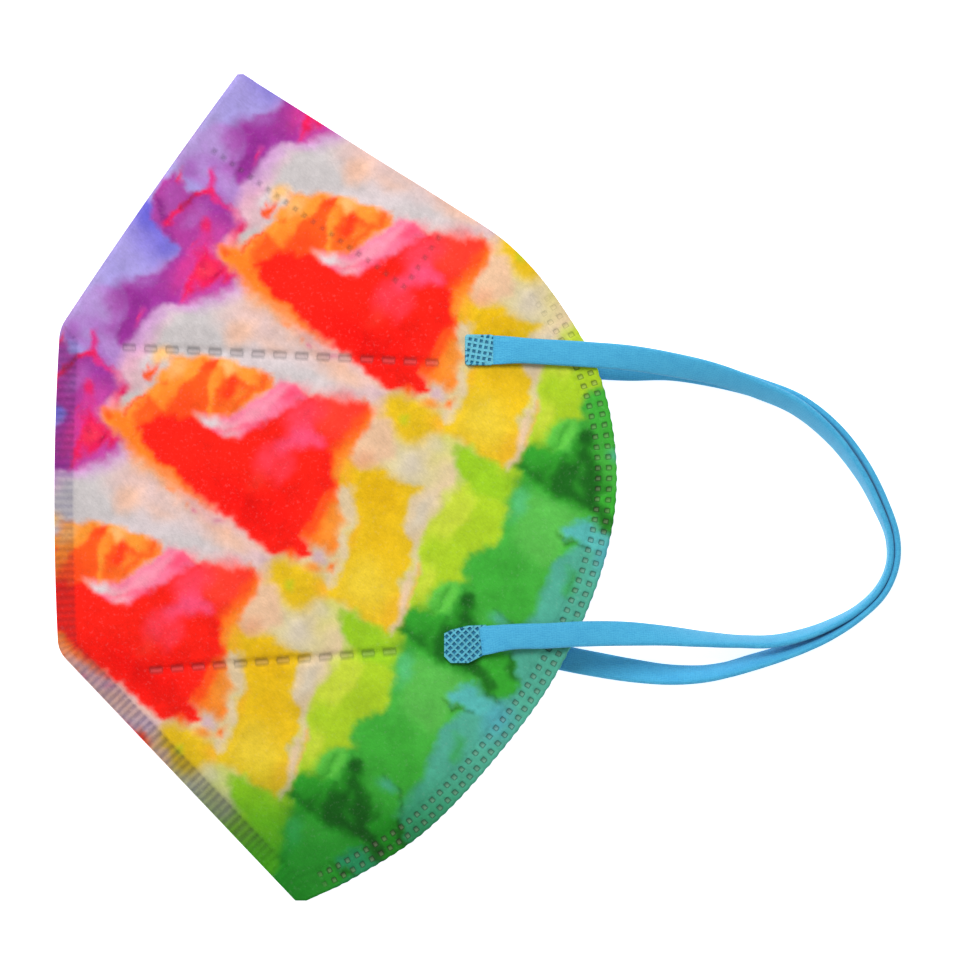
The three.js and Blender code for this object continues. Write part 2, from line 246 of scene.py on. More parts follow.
class Dye(Enum):
    """The colours of the print, as screen colours."""

    PERIWINKLE = (130, 118, 206)
    BLUE = (96, 90, 200)
    LAVENDER = (162, 150, 214)
    MIST = (170, 154, 206)
    LILAC = (174, 132, 198)
    ORCHID = (168, 112, 190)
    DEEP_ORCHID = (162, 92, 178)
    PURPLE = (154, 52, 152)
    DEEP_PURPLE = (144, 42, 142)
    PLUM = (128, 34, 126)
    VIOLET_ROSE = (170, 56, 148)
    ROSE_PURPLE = (194, 66, 158)
    MAGENTA = (214, 48, 132)
    CRIMSON = (232, 24, 86)
    GARNET = (172, 16, 66)
    MAUVE = (206, 156, 204)
    PEARL = (211, 197, 199)
    PEARL_COOL = (197, 190, 190)
    BLUSH = (223, 189, 183)
    SHELL_PINK = (226, 172, 190)
    WARM_BLUSH = (236, 190, 166)
    PINK_GREY = (216, 180, 185)
    APRICOT = (240, 184, 116)
    AMBER = (248, 148, 50)
    ORANGE = (252, 122, 32)
    TANGERINE = (254, 88, 26)
    VERMILION = (254, 62, 22)
    SCARLET = (252, 30, 17)
    RED = (240, 10, 8)
    CORAL = (255, 60, 44)
    HOT_CORAL = (252, 62, 82)
    HOT_ROSE = (252, 78, 116)
    ROSE = (248, 118, 152)
    PALE_ROSE = (246, 150, 172)
    PEACH = (232, 190, 154)
    PEACH_PINK = (230, 170, 132)
    CREAM = (218, 203, 150)
    STRAW = (214, 200, 176)
    SAND = (224, 198, 158)
    YELLOW = (232, 190, 28)
    GOLD = (228, 180, 16)
    PALE_YELLOW = (237, 204, 54)
    SUNSET = (244, 174, 44)
    PALE_LIME = (198, 215, 60)
    LIME = (170, 206, 38)
    OLIVE_LIME = (152, 201, 34)
    LEAF = (100, 203, 72)
    SPRING = (92, 190, 78)
    GREEN = (70, 178, 62)
    MEADOW = (54, 164, 46)
    FOREST = (42, 140, 36)
    DEEP_FOREST = (24, 94, 26)
    SEA_GREEN = (92, 198, 128)
    TEAL = (82, 174, 148)
    AQUA = (88, 186, 180)
    WATER = (84, 172, 192)


class Edge(Enum):
    """How a shape of dye meets what lies under it."""

    SOFT = "soft"
    ROUGH = "rough"


def from_segment(along: Array, across: Array, start: Point, end: Point) -> Array:
    """How far places are from the line between two points.

    Args:
        along, across: the places along and across the repeat.
        start, end: the two points.

    Returns:
        The distances.
    """
    run, rise = end[0] - start[0], end[1] - start[1]
    share = ((along - start[0]) * run + (across - start[1]) * rise) / max(run * run + rise * rise, 1e-9)
    share = np.clip(share, 0, 1)
    return np.hypot(along - start[0] - share * run, across - start[1] - share * rise)


@dataclass(frozen=True)
class Blot:
    """A round blot of dye. Its place is along and across the print's repeat, in millimetres."""

    dye: Dye
    along: float
    across: float
    half_along: float
    half_across: float
    turn: float = 0.0
    fade: float = 1.0
    strength: float = 1.0
    edge: Edge = Edge.SOFT

    def middle(self) -> float:
        """Its place along the repeat."""
        return self.along

    def inside(self, along: Array, across: Array) -> Array:
        """How far places are inside its outline.

        Args:
            along, across: the places along and across the repeat.

        Returns:
            The distances, below 0 outside.
        """
        turn = math.radians(self.turn)
        run, rise = along - self.along, across - self.across
        u = (run * math.cos(turn) + rise * math.sin(turn)) / self.half_along
        v = (rise * math.cos(turn) - run * math.sin(turn)) / self.half_across
        return (1 - np.hypot(u, v)) * min(self.half_along, self.half_across)


@dataclass(frozen=True)
class Streak:
    """A stroke of dye from one point to another."""

    dye: Dye
    start: Point
    end: Point
    half_width: float
    fade: float = 0.4
    strength: float = 1.0
    edge: Edge = Edge.ROUGH

    def middle(self) -> float:
        """Its place along the repeat."""
        return (self.start[0] + self.end[0]) / 2

    def inside(self, along: Array, across: Array) -> Array:
        """How far places are inside its outline."""
        return self.half_width - from_segment(along, across, self.start, self.end)


@dataclass(frozen=True)
class Patch:
    """A patch of dye inside a line through points."""

    dye: Dye
    outline: tuple[Point, ...]
    fade: float = 0.5
    strength: float = 1.0
    edge: Edge = Edge.ROUGH

    def middle(self) -> float:
        """Its place along the repeat."""
        places = [point[0] for point in self.outline]
        return (min(places) + max(places)) / 2

    def inside(self, along: Array, across: Array) -> Array:
        """How far places are inside its outline.

        Args:
            along, across: the places along and across the repeat.

        Returns:
            The distances, below 0 outside.
        """
        distance = np.full(len(along), np.inf)
        within = np.zeros(len(along), bool)
        for start, end in zip(self.outline, self.outline[1:] + self.outline[:1]):
            distance = np.minimum(distance, from_segment(along, across, start, end))
            if start[1] != end[1]:
                crossing = start[0] + (across - start[1]) * (end[0] - start[0]) / (end[1] - start[1])
                within ^= ((start[1] > across) != (end[1] > across)) & (along < crossing)
        return np.where(within, distance, -distance)


Shape = Blot | Streak | Patch
SOFT, ROUGH = Edge.SOFT, Edge.ROUGH


def several(kind: type[Shape], dye: Dye, edge: Edge, *rows: tuple) -> tuple[Shape, ...]:
    """Blots or streaks of one dye and edge, from what sets each of them apart."""
    return tuple(kind(dye, *row, edge=edge) for row in rows)


def trail(dye: Dye, places: tuple[Point, ...], *rest: float) -> tuple[Streak, ...]:
    """Streaks of one dye from each place to the next, with the same half width, fade and strength."""
    return tuple(Streak(dye, start, end, *rest) for start, end in zip(places, places[1:]))


# The ground colours from one side of the cloth to the other, by the place across the repeat.
GROUND: tuple[tuple[float, Dye], ...] = (
    (-62, Dye.LAVENDER), (-53, Dye.LAVENDER), (-50.5, Dye.LILAC), (-47, Dye.MAUVE), (-44, Dye.SHELL_PINK),
    (-41.5, Dye.PEARL_COOL), (-30, Dye.PEARL), (-10, Dye.BLUSH), (-3, Dye.WARM_BLUSH), (0.5, Dye.PEACH),
    (6, Dye.CREAM), (14, Dye.CREAM), (17.5, Dye.SAND), (20, Dye.PALE_LIME), (26, Dye.LIME), (29.5, Dye.GREEN),
    (43.5, Dye.GREEN), (46, Dye.TEAL), (60, Dye.TEAL),
)

# The shapes of dye, from the first that was laid down to the last.
CHART: tuple[Shape, ...] = (
    # periwinkle and lavender
    Patch(Dye.PERIWINKLE, ((-24, -62), (-19, -61), (-16.5, -58), (-16, -54), (-18, -51), (-21, -50),
        (-23.4, -51.5), (-25, -56)), 2.2, 1, SOFT),
    Blot(Dye.BLUE, -21.8, -52.6, 1.7, 2.2, 0, 1.4, 0.4), Blot(Dye.BLUE, -23, -58.5, 1.4, 3.6, 10, 1.2),
    # orchid lobes
    Patch(Dye.ORCHID, ((-7.6, -56), (-6.6, -60), (-3, -62), (2, -62), (4.6, -59.5), (4.8, -55), (3.9, -50),
        (3.6, -47), (0.8, -46.6), (0.5, -49.5), (-1.5, -51.6), (-4, -52.5), (-6.6, -54)), 0.9, 1, SOFT),
    Blot(Dye.DEEP_ORCHID, -4.6, -56.6, 3.4, 4, 0, 0.9, 0.5),
    *several(Blot, Dye.LILAC, SOFT, (-4, -56, 3, 3.5, 0, 0.9, 0.8), (1.2, -50, 1.7, 3.6, -12, 0.8)),
    Blot(Dye.DEEP_ORCHID, 2.8, -58.6, 1.5, 2, 0, 0.8, 0.7),
    *several(Blot, Dye.MIST, ROUGH,
        (-1.2, -61.4, 3.4, 2.8, 0, 1.6, 0.75), (-6.4, -60.8, 2.8, 2.2, 0, 1.4, 0.5),
        (4.2, -61.2, 2.4, 1.8, 0, 1.2, 0.6), (1.8, -56.4, 1.6, 0.9, 30, 0.9, 0.5),
        (-2.6, -56.2, 0.9, 2.2, -20, 0.9, 0.45)),
    # the purple band
    Patch(Dye.PURPLE, ((-24, -52), (-20.5, -50.2), (-17.5, -50.2), (-15, -51), (-12.5, -53.8), (-9, -54.7),
        (-7, -53.4), (-4.5, -52), (-2, -51.4), (0, -49.8), (0.6, -48.2), (-2, -47.7), (-5, -48.2),
        (-8, -47.3), (-11, -46), (-13.5, -44.2), (-16, -41.6), (-19, -39.2), (-21.5, -37.6), (-24, -38.4),
        (-24.4, -45)), 0.6),
    *several(Blot, Dye.PURPLE, ROUGH, (-7, -54.6, 3.8, 2.2, 0, 1.3, 0.8), (-1.4, -52.6, 1.8, 1.6, 0, 1, 0.6)),
    Blot(Dye.DEEP_PURPLE, -7.6, -50.6, 5.4, 1.9, 8, 1.4),
    Streak(Dye.PLUM, (-4.6, -51.6), (-0.4, -50.6), 0.5, 0.5, 0.6),
    Blot(Dye.ORCHID, -12.2, -52.4, 2.2, 1.2, -40, 0.9, 0.5),
    Blot(Dye.VIOLET_ROSE, -17.4, -47.6, 5, 2, -8, 1.3),
    Blot(Dye.DEEP_PURPLE, -13.2, -46.8, 2.4, 1.2, -30, 0.9, 0.6),
    Streak(Dye.ROSE_PURPLE, (-7.6, -49.6), (-4.6, -49), 0.5, 0.5, 0.7, SOFT),
    # the magenta field and its arcs
    Patch(Dye.VIOLET_ROSE, ((4, -52.4), (5.4, -53.6), (6.8, -56), (5.4, -58), (5, -61), (8, -62), (14, -61),
        (15.8, -57), (16.2, -52), (16.8, -48.5), (15, -46.5), (12, -45.3), (10.2, -45.6), (9, -43.6),
        (7.6, -42.6), (6, -43.6), (4.9, -45.6), (4.3, -49))),
    Blot(Dye.PURPLE, 6.4, -49.4, 2, 3.4, 0, 1.4), Blot(Dye.ROSE_PURPLE, 11.8, -47.6, 3.4, 2.4, 0, 1.4),
    Blot(Dye.DEEP_ORCHID, 9.6, -58.2, 3.8, 2.2, 0, 1.2, 0.4, ROUGH),
    Blot(Dye.ORCHID, 9, -52, 2.4, 1, -10, 0.8, 0.35),
    Blot(Dye.ORCHID, 11.6, -53.4, 1.4, 1, 0, 0.8, 0.4, ROUGH),
    Streak(Dye.PLUM, (11.2, -61.2), (13.9, -56.7), 0.35, 0.5),
    Streak(Dye.PLUM, (13.9, -56.7), (16.2, -53.4), 0.35, 0.5, 0.7),
    Streak(Dye.BLUE, (15.4, -60.5), (18.6, -53), 1, 1.4, 0.35, SOFT),
    Blot(Dye.BLUE, 14.2, -61.2, 1.1, 1.2, 0, 0.9), Blot(Dye.CRIMSON, 5.2, -58.8, 1, 0.5, 20, 0.4, 0.9, ROUGH),
    *trail(Dye.MAGENTA, ((1.1, -55.2), (2.8, -53.9), (4.7, -53.2)), 0.6, 0.5),
    *trail(Dye.CRIMSON, ((14.4, -56.1), (12.2, -56.6), (10.2, -56.1)), 0.46, 0.35, 0.9),
    *trail(Dye.GARNET, ((10.2, -56.1), (8.1, -54.5), (6.2, -53.9)), 0.42, 0.35, 0.75),
    *trail(Dye.CRIMSON, ((6.2, -53.9), (4.8, -53.2), (4.8, -51)), 0.46, 0.4, 0.85),
    *trail(Dye.MAGENTA, ((4.8, -51), (5, -48.2), (5.6, -45.7), (6.9, -43.8), (8, -42.6)), 0.5, 0.45),
    Blot(Dye.CRIMSON, 8.3, -43.2, 1.9, 0.9, 0, 0.7, 0.9, ROUGH),
    Blot(Dye.ROSE, 9.4, -44.2, 1.2, 0.9, 0, 0.7, 0.6),
    Blot(Dye.CRIMSON, 10.7, -50.2, 1, 1.3, -30, 0.6, 0.85, ROUGH),
    Streak(Dye.MAGENTA, (12.2, -49.4), (14, -46.6), 0.9, 0.9, 0.7),
    *several(Blot, Dye.CRIMSON, ROUGH,
        (14.4, -49.3, 0.7, 0.35, 10, 0.3, 0.8), (14.8, -47.3, 0.6, 0.4, 10, 0.3, 0.8),
        (-6.2, -49.3, 0.8, 0.3, 10, 0.3, 0.7)),
    # mauve, pink and pearl under the purple
    *several(Streak, Dye.MAUVE, SOFT,
        ((-13.6, -43), (-8.6, -46.2), 0.9, 1), ((-8, -46.4), (0, -46.9), 0.9, 1)),
    Blot(Dye.SHELL_PINK, 2, -44.6, 3.4, 2.2, 0, 1.4),
    Patch(Dye.PEARL_COOL, ((-15, -41), (-10, -44.6), (-5, -45.2), (-1, -43.6), (-2.4, -40), (-6, -36.4),
        (-9, -32), (-12, -28), (-15, -32), (-16.6, -37)), 1.6, 1, SOFT),
    Blot(Dye.PEARL, 0.6, -43, 2.2, 1.6), Blot(Dye.PINK_GREY, 4.4, -42.4, 1.4, 2, 0, 0.9),
    Blot(Dye.BLUSH, -18.8, -32, 4.4, 6.4, 0, 2.2),
    *several(Blot, Dye.WARM_BLUSH, SOFT, (-14.4, -31.4, 2.6, 2.2, 0, 1.4), (-16, -25, 1.8, 3, 20, 1.4, 0.6)),
    Patch(Dye.PEARL, ((-13.6, -28), (-10.6, -28), (-11.4, -22), (-12.8, -18), (-14, -13), (-16, -8),
        (-18, -4), (-19.5, -2), (-20.5, -4), (-18.5, -9), (-17.4, -15), (-16.6, -21)), 1.2, 1, SOFT),
    Blot(Dye.PEARL_COOL, -14.6, -17.6, 1.3, 4, 22, 1.2, 0.7),
    Blot(Dye.WARM_BLUSH, -18.6, -10, 1.6, 4.4, 12, 1.4), Blot(Dye.PINK_GREY, -16.4, -7.4, 1, 3.2, 24),
    Blot(Dye.PINK_GREY, -19.6, -4, 1.1, 2.4),
    # the crimson corner
    Streak(Dye.MAUVE, (-22.6, -36.2), (-14, -42.2), 1.2, 1.3, 1, SOFT),
    Patch(Dye.ROSE_PURPLE, ((-24.8, -48.6), (-22, -49), (-19, -47.4), (-15.6, -45.9), (-13.6, -44.6),
        (-14.6, -42.4), (-17.4, -40), (-20, -38.2), (-22.4, -37), (-23.6, -38.4), (-23.4, -41.5),
        (-24, -45)), 0.8),
    Patch(Dye.CRIMSON, ((-24.2, -47.4), (-22, -47.6), (-19.4, -46.2), (-16.4, -45.4), (-14.6, -44.7),
        (-16, -43.3), (-18, -42.2), (-19.6, -40.8), (-21, -39.2), (-22.4, -38), (-23, -40),
        (-23.2, -43)), 0.6),
    Blot(Dye.MAGENTA, -19.8, -47.6, 4.2, 1.2, 8, 1, 0.7),
    Blot(Dye.HOT_CORAL, -20.6, -44.4, 1.8, 1.2, 0, 0.8, 0.6),
    *several(Blot, Dye.ROSE_PURPLE, ROUGH,
        (-19.9, -40.2, 1.9, 0.8, 20, 0.5, 0.8), (-17.2, -43.4, 1, 0.6, 50, 0.5, 0.6)),
    *several(Blot, Dye.GARNET, ROUGH,
        (-21.4, -42.6, 0.9, 0.6, 20, 0.4, 0.8), (-21.2, -45.4, 0.6, 0.4, 0, 0.4, 0.5)),
    # the orange cloud
    Blot(Dye.APRICOT, -2.4, -41.2, 1.3, 1.8, 0, 0.8),
    Patch(Dye.AMBER, ((-7.4, -33), (-6.4, -35.6), (-4.4, -37.4), (-3.2, -39.2), (-1.2, -38.4), (0.4, -39.9),
        (3, -40), (5.2, -40.4), (8, -40.7), (10.8, -41.2), (11.4, -43.8), (12.6, -45.4), (14, -44.6),
        (15, -41.4), (15, -36), (15.4, -32), (15.6, -26), (15, -20), (13, -20), (8, -28), (5, -30),
        (0, -31.5), (-4, -32)), 0.6),
    Streak(Dye.PEACH_PINK, (17.6, -33), (17.8, -12), 1.2, 1.3, 0.8),
    Streak(Dye.AMBER, (15.6, -36), (17, -24), 1, 1.1, 0.8),
    Blot(Dye.APRICOT, -1.6, -37.4, 1.8, 1, -10, 0.8, 0.7), Blot(Dye.ORANGE, 12.4, -39.6, 2.4, 4.6, 0, 1.2),
    Streak(Dye.ORANGE, (14.4, -37), (16.4, -18), 1.1, 1), Blot(Dye.ORANGE, 3.6, -36.4, 3, 1.6, 0, 1.2, 0.7),
    *several(Blot, Dye.TANGERINE, ROUGH,
        (12.6, -44, 0.8, 1.1, 0, 0.6), (1, -41.2, 1.7, 0.7, -10, 0.4), (2.4, -41.8, 0.7, 0.7, 0, 0.4),
        (0.3, -42.3, 0.5, 0.35, 30, 0.3, 0.8), (1.8, -38.6, 0.7, 0.5, 0, 0.4, 0.7)),
    Streak(Dye.TANGERINE, (5.2, -40.2), (10.6, -40.9), 0.25, 0.25, 0.9),
    Patch(Dye.TANGERINE, ((5, -39.6), (8, -39.9), (10.4, -39.2), (12.6, -37), (11, -36), (8.5, -35.4),
        (6.4, -35), (5.2, -37.4)), 0.7),
    # tangerine, with the amber swirl under it
    Patch(Dye.AMBER, ((-8.4, -31.4), (-6, -33), (0, -32), (4, -29.5), (3, -26.5), (0.6, -24.2), (-2, -23),
        (-5, -21.9), (-8, -21.6), (-10, -20.4), (-12, -21.8), (-10.6, -24), (-9.6, -27)), 0.6),
    Blot(Dye.APRICOT, -7.2, -29, 1.6, 1.4, 0, 0.9, 0.8),
    Streak(Dye.ORANGE, (-5.6, -30.2), (-0.4, -27), 0.8, 0.6, 0.8, SOFT),
    Streak(Dye.TANGERINE, (-10.6, -22.4), (-2.2, -24.6), 0.9, 0.7, 0.9),
    Blot(Dye.TANGERINE, -0.8, -26.4, 1.6, 1.9, 0, 0.8, 0.8, ROUGH),
    Blot(Dye.VERMILION, -4, -27.2, 2.2, 1.5, -12, 0.6, 1, ROUGH),
    Streak(Dye.VERMILION, (-6.4, -24.8), (-4.6, -26.4), 0.5, 0.5, 0.8),
    Patch(Dye.TANGERINE, ((-7.2, -31.4), (-5.5, -34.4), (-3, -33.7), (0, -35), (3, -35.2), (6, -35.6),
        (7.4, -33), (6, -28), (3.8, -26.6), (2, -27.6), (0.6, -28.8), (-1.4, -29.9), (-3.5, -31))),
    Blot(Dye.VERMILION, 3.6, -32.4, 2.6, 2.4, 0, 1.4, 0.6),
    Blot(Dye.VERMILION, -5.4, -32.6, 1.4, 0.8, -30, 0.6, 0.7, ROUGH),
    # the orange fringe under the red
    Patch(Dye.ORANGE, ((-17, -5), (-13, -6), (-6, -7), (0, -6), (11, -4), (11.2, 0), (11, 2.8), (10, 4.2),
        (10.6, 6), (9, 6.6), (6, 5.4), (3.5, 3.2), (1.2, 1.6), (-1, 1.2), (-4, 0.8), (-8, -0.6), (-12, -0.8),
        (-16, -1.4)), 0.8),
    *several(Blot, Dye.AMBER, SOFT, (-3.6, -0.2, 3.6, 1.2, 8, 0.9), (6.4, 4.2, 3.6, 1.6, 22, 1.1, 0.9)),
    # the red body
    Patch(Dye.SCARLET, ((6.3, -35.6), (9, -36.6), (11.2, -37.4), (13, -35.4), (14, -33), (15, -30),
        (15.4, -25), (15.8, -18), (16.1, -12), (16.3, -6), (17, -3.4), (16.4, -1.6), (15, 0.2), (13.6, 2.2),
        (12.3, 3.4), (11.3, 2.4), (10.6, 0.2), (8, -0.2), (4.6, -0.4), (2, 0), (-0.6, 0), (-2.4, -1.8),
        (-5, -3.6), (-9, -3.4), (-13, -2.8), (-17, -3.8), (-15.6, -6), (-14, -9), (-12.8, -12), (-11.8, -16),
        (-8, -18), (-4, -19), (-0.6, -21), (2.2, -24), (3, -27), (4.2, -30), (5.8, -32)), 0.6),
    Blot(Dye.RED, 12.4, -12, 3, 8.5, 0, 2.2, 0.8), Blot(Dye.RED, 7.4, -6.4, 3.6, 2.4, 0, 1.6, 0.5),
    Blot(Dye.CORAL, -11.4, -7.4, 4.4, 4.6, 30, 1.6), Blot(Dye.HOT_CORAL, -8, -12.4, 4, 2.8, -10, 1.4),
    *several(Blot, Dye.HOT_ROSE, ROUGH,
        (-4.6, -10.6, 2.6, 2.2, -20, 1), (-5.4, -7.4, 1.1, 1.8, 10, 0.8, 0.9)),
    Blot(Dye.HOT_ROSE, -1.2, -12.6, 1.8, 1.4, 0, 1, 0.8),
    *several(Blot, Dye.HOT_CORAL, SOFT, (2.6, -13.2, 3, 2, 0, 1.4, 0.8), (2.2, -9.6, 2.6, 1.2, 10, 1, 0.7)),
    *several(Blot, Dye.CORAL, SOFT, (7, -12.6, 1.6, 1.2, 0, 1, 0.5), (-14, -4.6, 1.8, 1, -10, 0.8)),
    # the rose band and the fringes round the red
    Patch(Dye.ROSE, ((-12.6, -16.6), (-12, -20), (-9.5, -21), (-6, -21.8), (-3, -22.8), (-0.5, -24.3),
        (1, -26), (1.8, -28.2), (3.4, -28.2), (3.7, -25.5), (3, -22.2), (1.5, -20.2), (-1, -18.8),
        (-4, -17.1), (-8, -15.8), (-11.4, -14.6)), 0.6),
    Blot(Dye.PALE_ROSE, -2.6, -20.8, 3.4, 1.3, -20, 0.9),
    Blot(Dye.PALE_ROSE, -8, -18.8, 2.6, 1, -12, 0.9, 0.7),
    Blot(Dye.HOT_ROSE, -10.2, -16.4, 2.2, 1.2, -14, 0.9), Blot(Dye.PEARL, 2.4, -26.4, 1.1, 2.5, 14, 0.7),
    Blot(Dye.PINK_GREY, 1.6, -22.6, 1.4, 1.8, 14, 0.9, 0.8),
    Streak(Dye.HOT_ROSE, (3.2, -24.6), (-1.6, -18.6), 0.5, 0.7, 0.7, SOFT),
    Blot(Dye.PINK_GREY, -20.8, -17.6, 0.8, 5.4, 0, 0.8, 0.8),
    *several(Blot, Dye.MAGENTA, ROUGH,
        (18.4, -19.2, 0.5, 0.6, 0, 0.3, 0.5), (17.2, -15, 0.4, 1, 0, 0.3, 0.4)),
    *several(Blot, Dye.ORANGE, ROUGH,
        (17.8, -25.4, 0.6, 0.8, 0, 0.4, 0.6), (18.2, -21.4, 0.4, 0.5, 0, 0.3, 0.5)),
    # the orange that the red runs out into
    Streak(Dye.TANGERINE, (-16, -3.2), (-6, -3.6), 0.7, 0.9, 0.8, SOFT),
    Streak(Dye.VERMILION, (-1, 0.2), (9.6, 0.6), 0.9, 1, 0.9, SOFT),
    Blot(Dye.TANGERINE, 14.8, 0.6, 1, 1.2, -40, 0.7),
    # yellow on the left, peach and cream
    Blot(Dye.PALE_YELLOW, 20.4, 8.4, 3.4, 5, 0, 2, 0.7),
    Patch(Dye.YELLOW, ((15, 2.6), (16.4, 0), (18, -1.8), (20.4, -2), (22, -0.6), (22.8, 3), (23, 6),
        (21.4, 9.4), (19, 11.6), (17, 10.6), (16.2, 8), (15.2, 5)), 1.2, 1, SOFT),
    Blot(Dye.PALE_LIME, 19.6, 12.8, 2.4, 2, 0, 1.4, 0.6),
    Blot(Dye.OLIVE_LIME, 20, 3.8, 0.8, 0.9, 0, 0.6, 0.5), Blot(Dye.SUNSET, 17.6, 8.8, 1.2, 1.6, 0, 0.9, 0.8),
    Patch(Dye.PEACH, ((-16, 0.5), (-14, -0.4), (-10, -0.6), (-7, 0.2), (-6, 2), (-6.4, 4), (-8, 5.2),
        (-11, 5.8), (-14, 5.4), (-15.8, 4)), 0.8),
    Blot(Dye.PEACH_PINK, -7.6, 2.2, 1.9, 1.8, 0, 0.9),
    *several(Blot, Dye.STRAW, SOFT, (-12, 9.6, 3.2, 2.8, 0, 1.6), (-17.4, 11.4, 2, 2.2, 0, 1.4, 0.7)),
    # yellow
    Patch(Dye.YELLOW, ((-6.5, 4), (-5.4, 0.6), (-2, 0.4), (0, 4), (3, 7), (5, 7.2), (8, 8.4), (11, 9.2),
        (15, 9.8), (17, 9), (18, 11), (16.6, 13), (17, 15), (17.2, 20), (16.8, 23), (15, 23.6), (11, 22.6),
        (8, 20.8), (5, 20.9), (2, 18.9), (-0.5, 17), (-2, 14.6), (-5, 13.6), (-9.5, 14), (-8.6, 12),
        (-7.4, 9), (-7.8, 6.5)), 0.6),
    Streak(Dye.SUNSET, (-5.4, 0.4), (-2, 1.6), 0.9, 0.9, 1, SOFT), Blot(Dye.GOLD, -3.6, 7.4, 4, 4.8, 0, 1.8),
    Blot(Dye.PALE_YELLOW, 12, 15.6, 4.2, 5, 0, 2.2), Blot(Dye.GOLD, 3, 12.4, 3, 3, 0, 2, 0.5),
    *several(Blot, Dye.SUNSET, SOFT, (14, 21.8, 2.6, 1.5, 10, 1.2, 0.45), (5.4, 8.2, 2.4, 0.6, 14, 0.6, 0.6)),
    Patch(Dye.SAND, ((-1.6, 1.6), (0.4, 1), (2, 2.2), (3.2, 3.8), (4.2, 5.4), (4, 6.8), (2.4, 6.3), (0, 4.6),
        (-1.6, 3.2)), 0.6),
    *several(Streak, Dye.SAND, ROUGH, ((7, 7), (10.4, 8), 0.6, 0.5), ((12.4, 8.6), (16, 9.2), 0.6, 0.6)),
    Blot(Dye.PINK_GREY, 12.2, 4.8, 1.5, 1.4, 30, 0.7, 1, ROUGH),
    Blot(Dye.AMBER, 14.8, 5.4, 1.2, 1.6, 0, 0.7, 0.9),
    Blot(Dye.ORANGE, 12.8, 7.6, 1.1, 0.7, 0, 0.5, 1, ROUGH),
    # the pale seam between yellow and lime
    Patch(Dye.SAND, ((-10, 14.6), (-7, 14), (-3.4, 14.2), (-1, 16.2), (0.6, 18), (2.6, 19.4), (5, 21.1),
        (8, 20.8), (11, 22.4), (14, 23.5), (16, 23.6), (17, 24.6), (14.5, 24.6), (11, 24.2), (8, 22.8),
        (4.5, 22.2), (2, 20.7), (0, 19.2), (-3, 18.8), (-6, 19), (-8, 19.4), (-10.4, 17.4)), 0.6),
    Blot(Dye.STRAW, -5.6, 16.6, 3.6, 1.4, 0, 0.9), Blot(Dye.WARM_BLUSH, 11.8, 23, 3, 0.6, 14, 0.5, 0.6),
    Streak(Dye.SUNSET, (3.4, 21.6), (12, 24.4), 0.2, 0.4, 0.7, SOFT),
    # lime
    Patch(Dye.OLIVE_LIME, ((16.8, 15.4), (18, 14.2), (20.4, 14.8), (22.4, 16.8), (24.6, 19), (25, 24),
        (24, 27.6), (21, 28.4), (18.6, 27), (17.2, 22)), 0.8),
    *several(Blot, Dye.PALE_LIME, SOFT, (-6.6, 22, 4.6, 2.6, 0, 1.6), (5.6, 24.4, 2.6, 1.3, 14, 0.9)),
    Blot(Dye.LIME, -0.6, 22.6, 2.8, 2.6, 0, 1.4), Blot(Dye.PALE_LIME, -11, 25.6, 2.2, 2.8, 30, 1.2, 0.7),
    Patch(Dye.LIME, ((-14, 24), (-6, 24), (2, 25), (6, 25.6), (4, 27.6), (2.6, 29.6), (1, 31), (0, 29.2),
        (-2, 28.6), (-4, 29.2), (-6, 30.6), (-8.5, 32), (-10.4, 31.4), (-12, 30), (-15, 29.4)), 0.7),
    # greens
    Patch(Dye.SPRING, ((-20, 30.6), (-16, 31), (-12, 33), (-10, 36), (-9, 41), (-11, 44), (-15, 42),
        (-18, 42), (-21, 40), (-21.5, 35)), 1.2, 1, SOFT),
    Blot(Dye.SEA_GREEN, -17.4, 30.4, 2.8, 1.2, 10, 0.9, 0.8),
    Patch(Dye.MEADOW, ((-7, 31.4), (-4, 29.6), (-1, 29.2), (1, 30.8), (3.6, 33), (3.4, 38), (1, 42),
        (-2, 43.6), (-5, 42), (-6, 39), (-8.5, 37), (-7, 34)), 1.6, 0.5),
    Patch(Dye.LEAF, ((3.4, 27.8), (5.5, 26.2), (8.6, 26.6), (8.8, 29), (7.2, 31), (4.5, 31.2),
        (3, 29.6)), 0.7),
    Patch(Dye.MEADOW, ((9, 27.4), (10.4, 25.4), (12.4, 24.4), (14.6, 25), (16, 26.2), (17, 28.6), (16.2, 32),
        (16, 35), (13, 36), (9, 34), (8.4, 30)), 0.7),
    Blot(Dye.FOREST, 13.4, 30.2, 2.4, 1.6), Streak(Dye.DEEP_FOREST, (14.8, 25.4), (14.6, 33), 0.7, 0.9, 0.75),
    Streak(Dye.DEEP_FOREST, (9, 31.4), (11.6, 33), 0.4, 0.6, 0.7),
    Streak(Dye.FOREST, (5, 28.4), (9, 28), 0.4, 0.6, 0.8),
    Blot(Dye.FOREST, 17.6, 28.6, 1.2, 2.6, 0, 0.9, 0.6),
    Patch(Dye.FOREST, ((2.6, 31.8), (5.6, 31.4), (9, 32), (15.4, 32), (16.4, 38), (15.2, 44), (12.2, 43.8),
        (8.6, 40.4), (5.8, 37), (3.4, 36.4)), 0.9),
    Patch(Dye.DEEP_FOREST, ((4.8, 34), (7, 33.6), (9.4, 34.4), (10.4, 32.6), (13, 32.8), (15, 33.6), (15, 38),
        (14.6, 43.4), (12.6, 42.6), (10.4, 40.8), (8.2, 38.6), (6, 35.8)), 0.8, 0.85),
    Blot(Dye.DEEP_FOREST, 3.8, 33.4, 1.5, 1.7, 20, 0.7, 0.95, ROUGH),
    *several(Blot, Dye.MEADOW, ROUGH,
        (9.2, 36.2, 1, 0.7, 30, 0.7, 0.5), (12.2, 37.6, 1.1, 0.8, 60, 0.7, 0.45)),
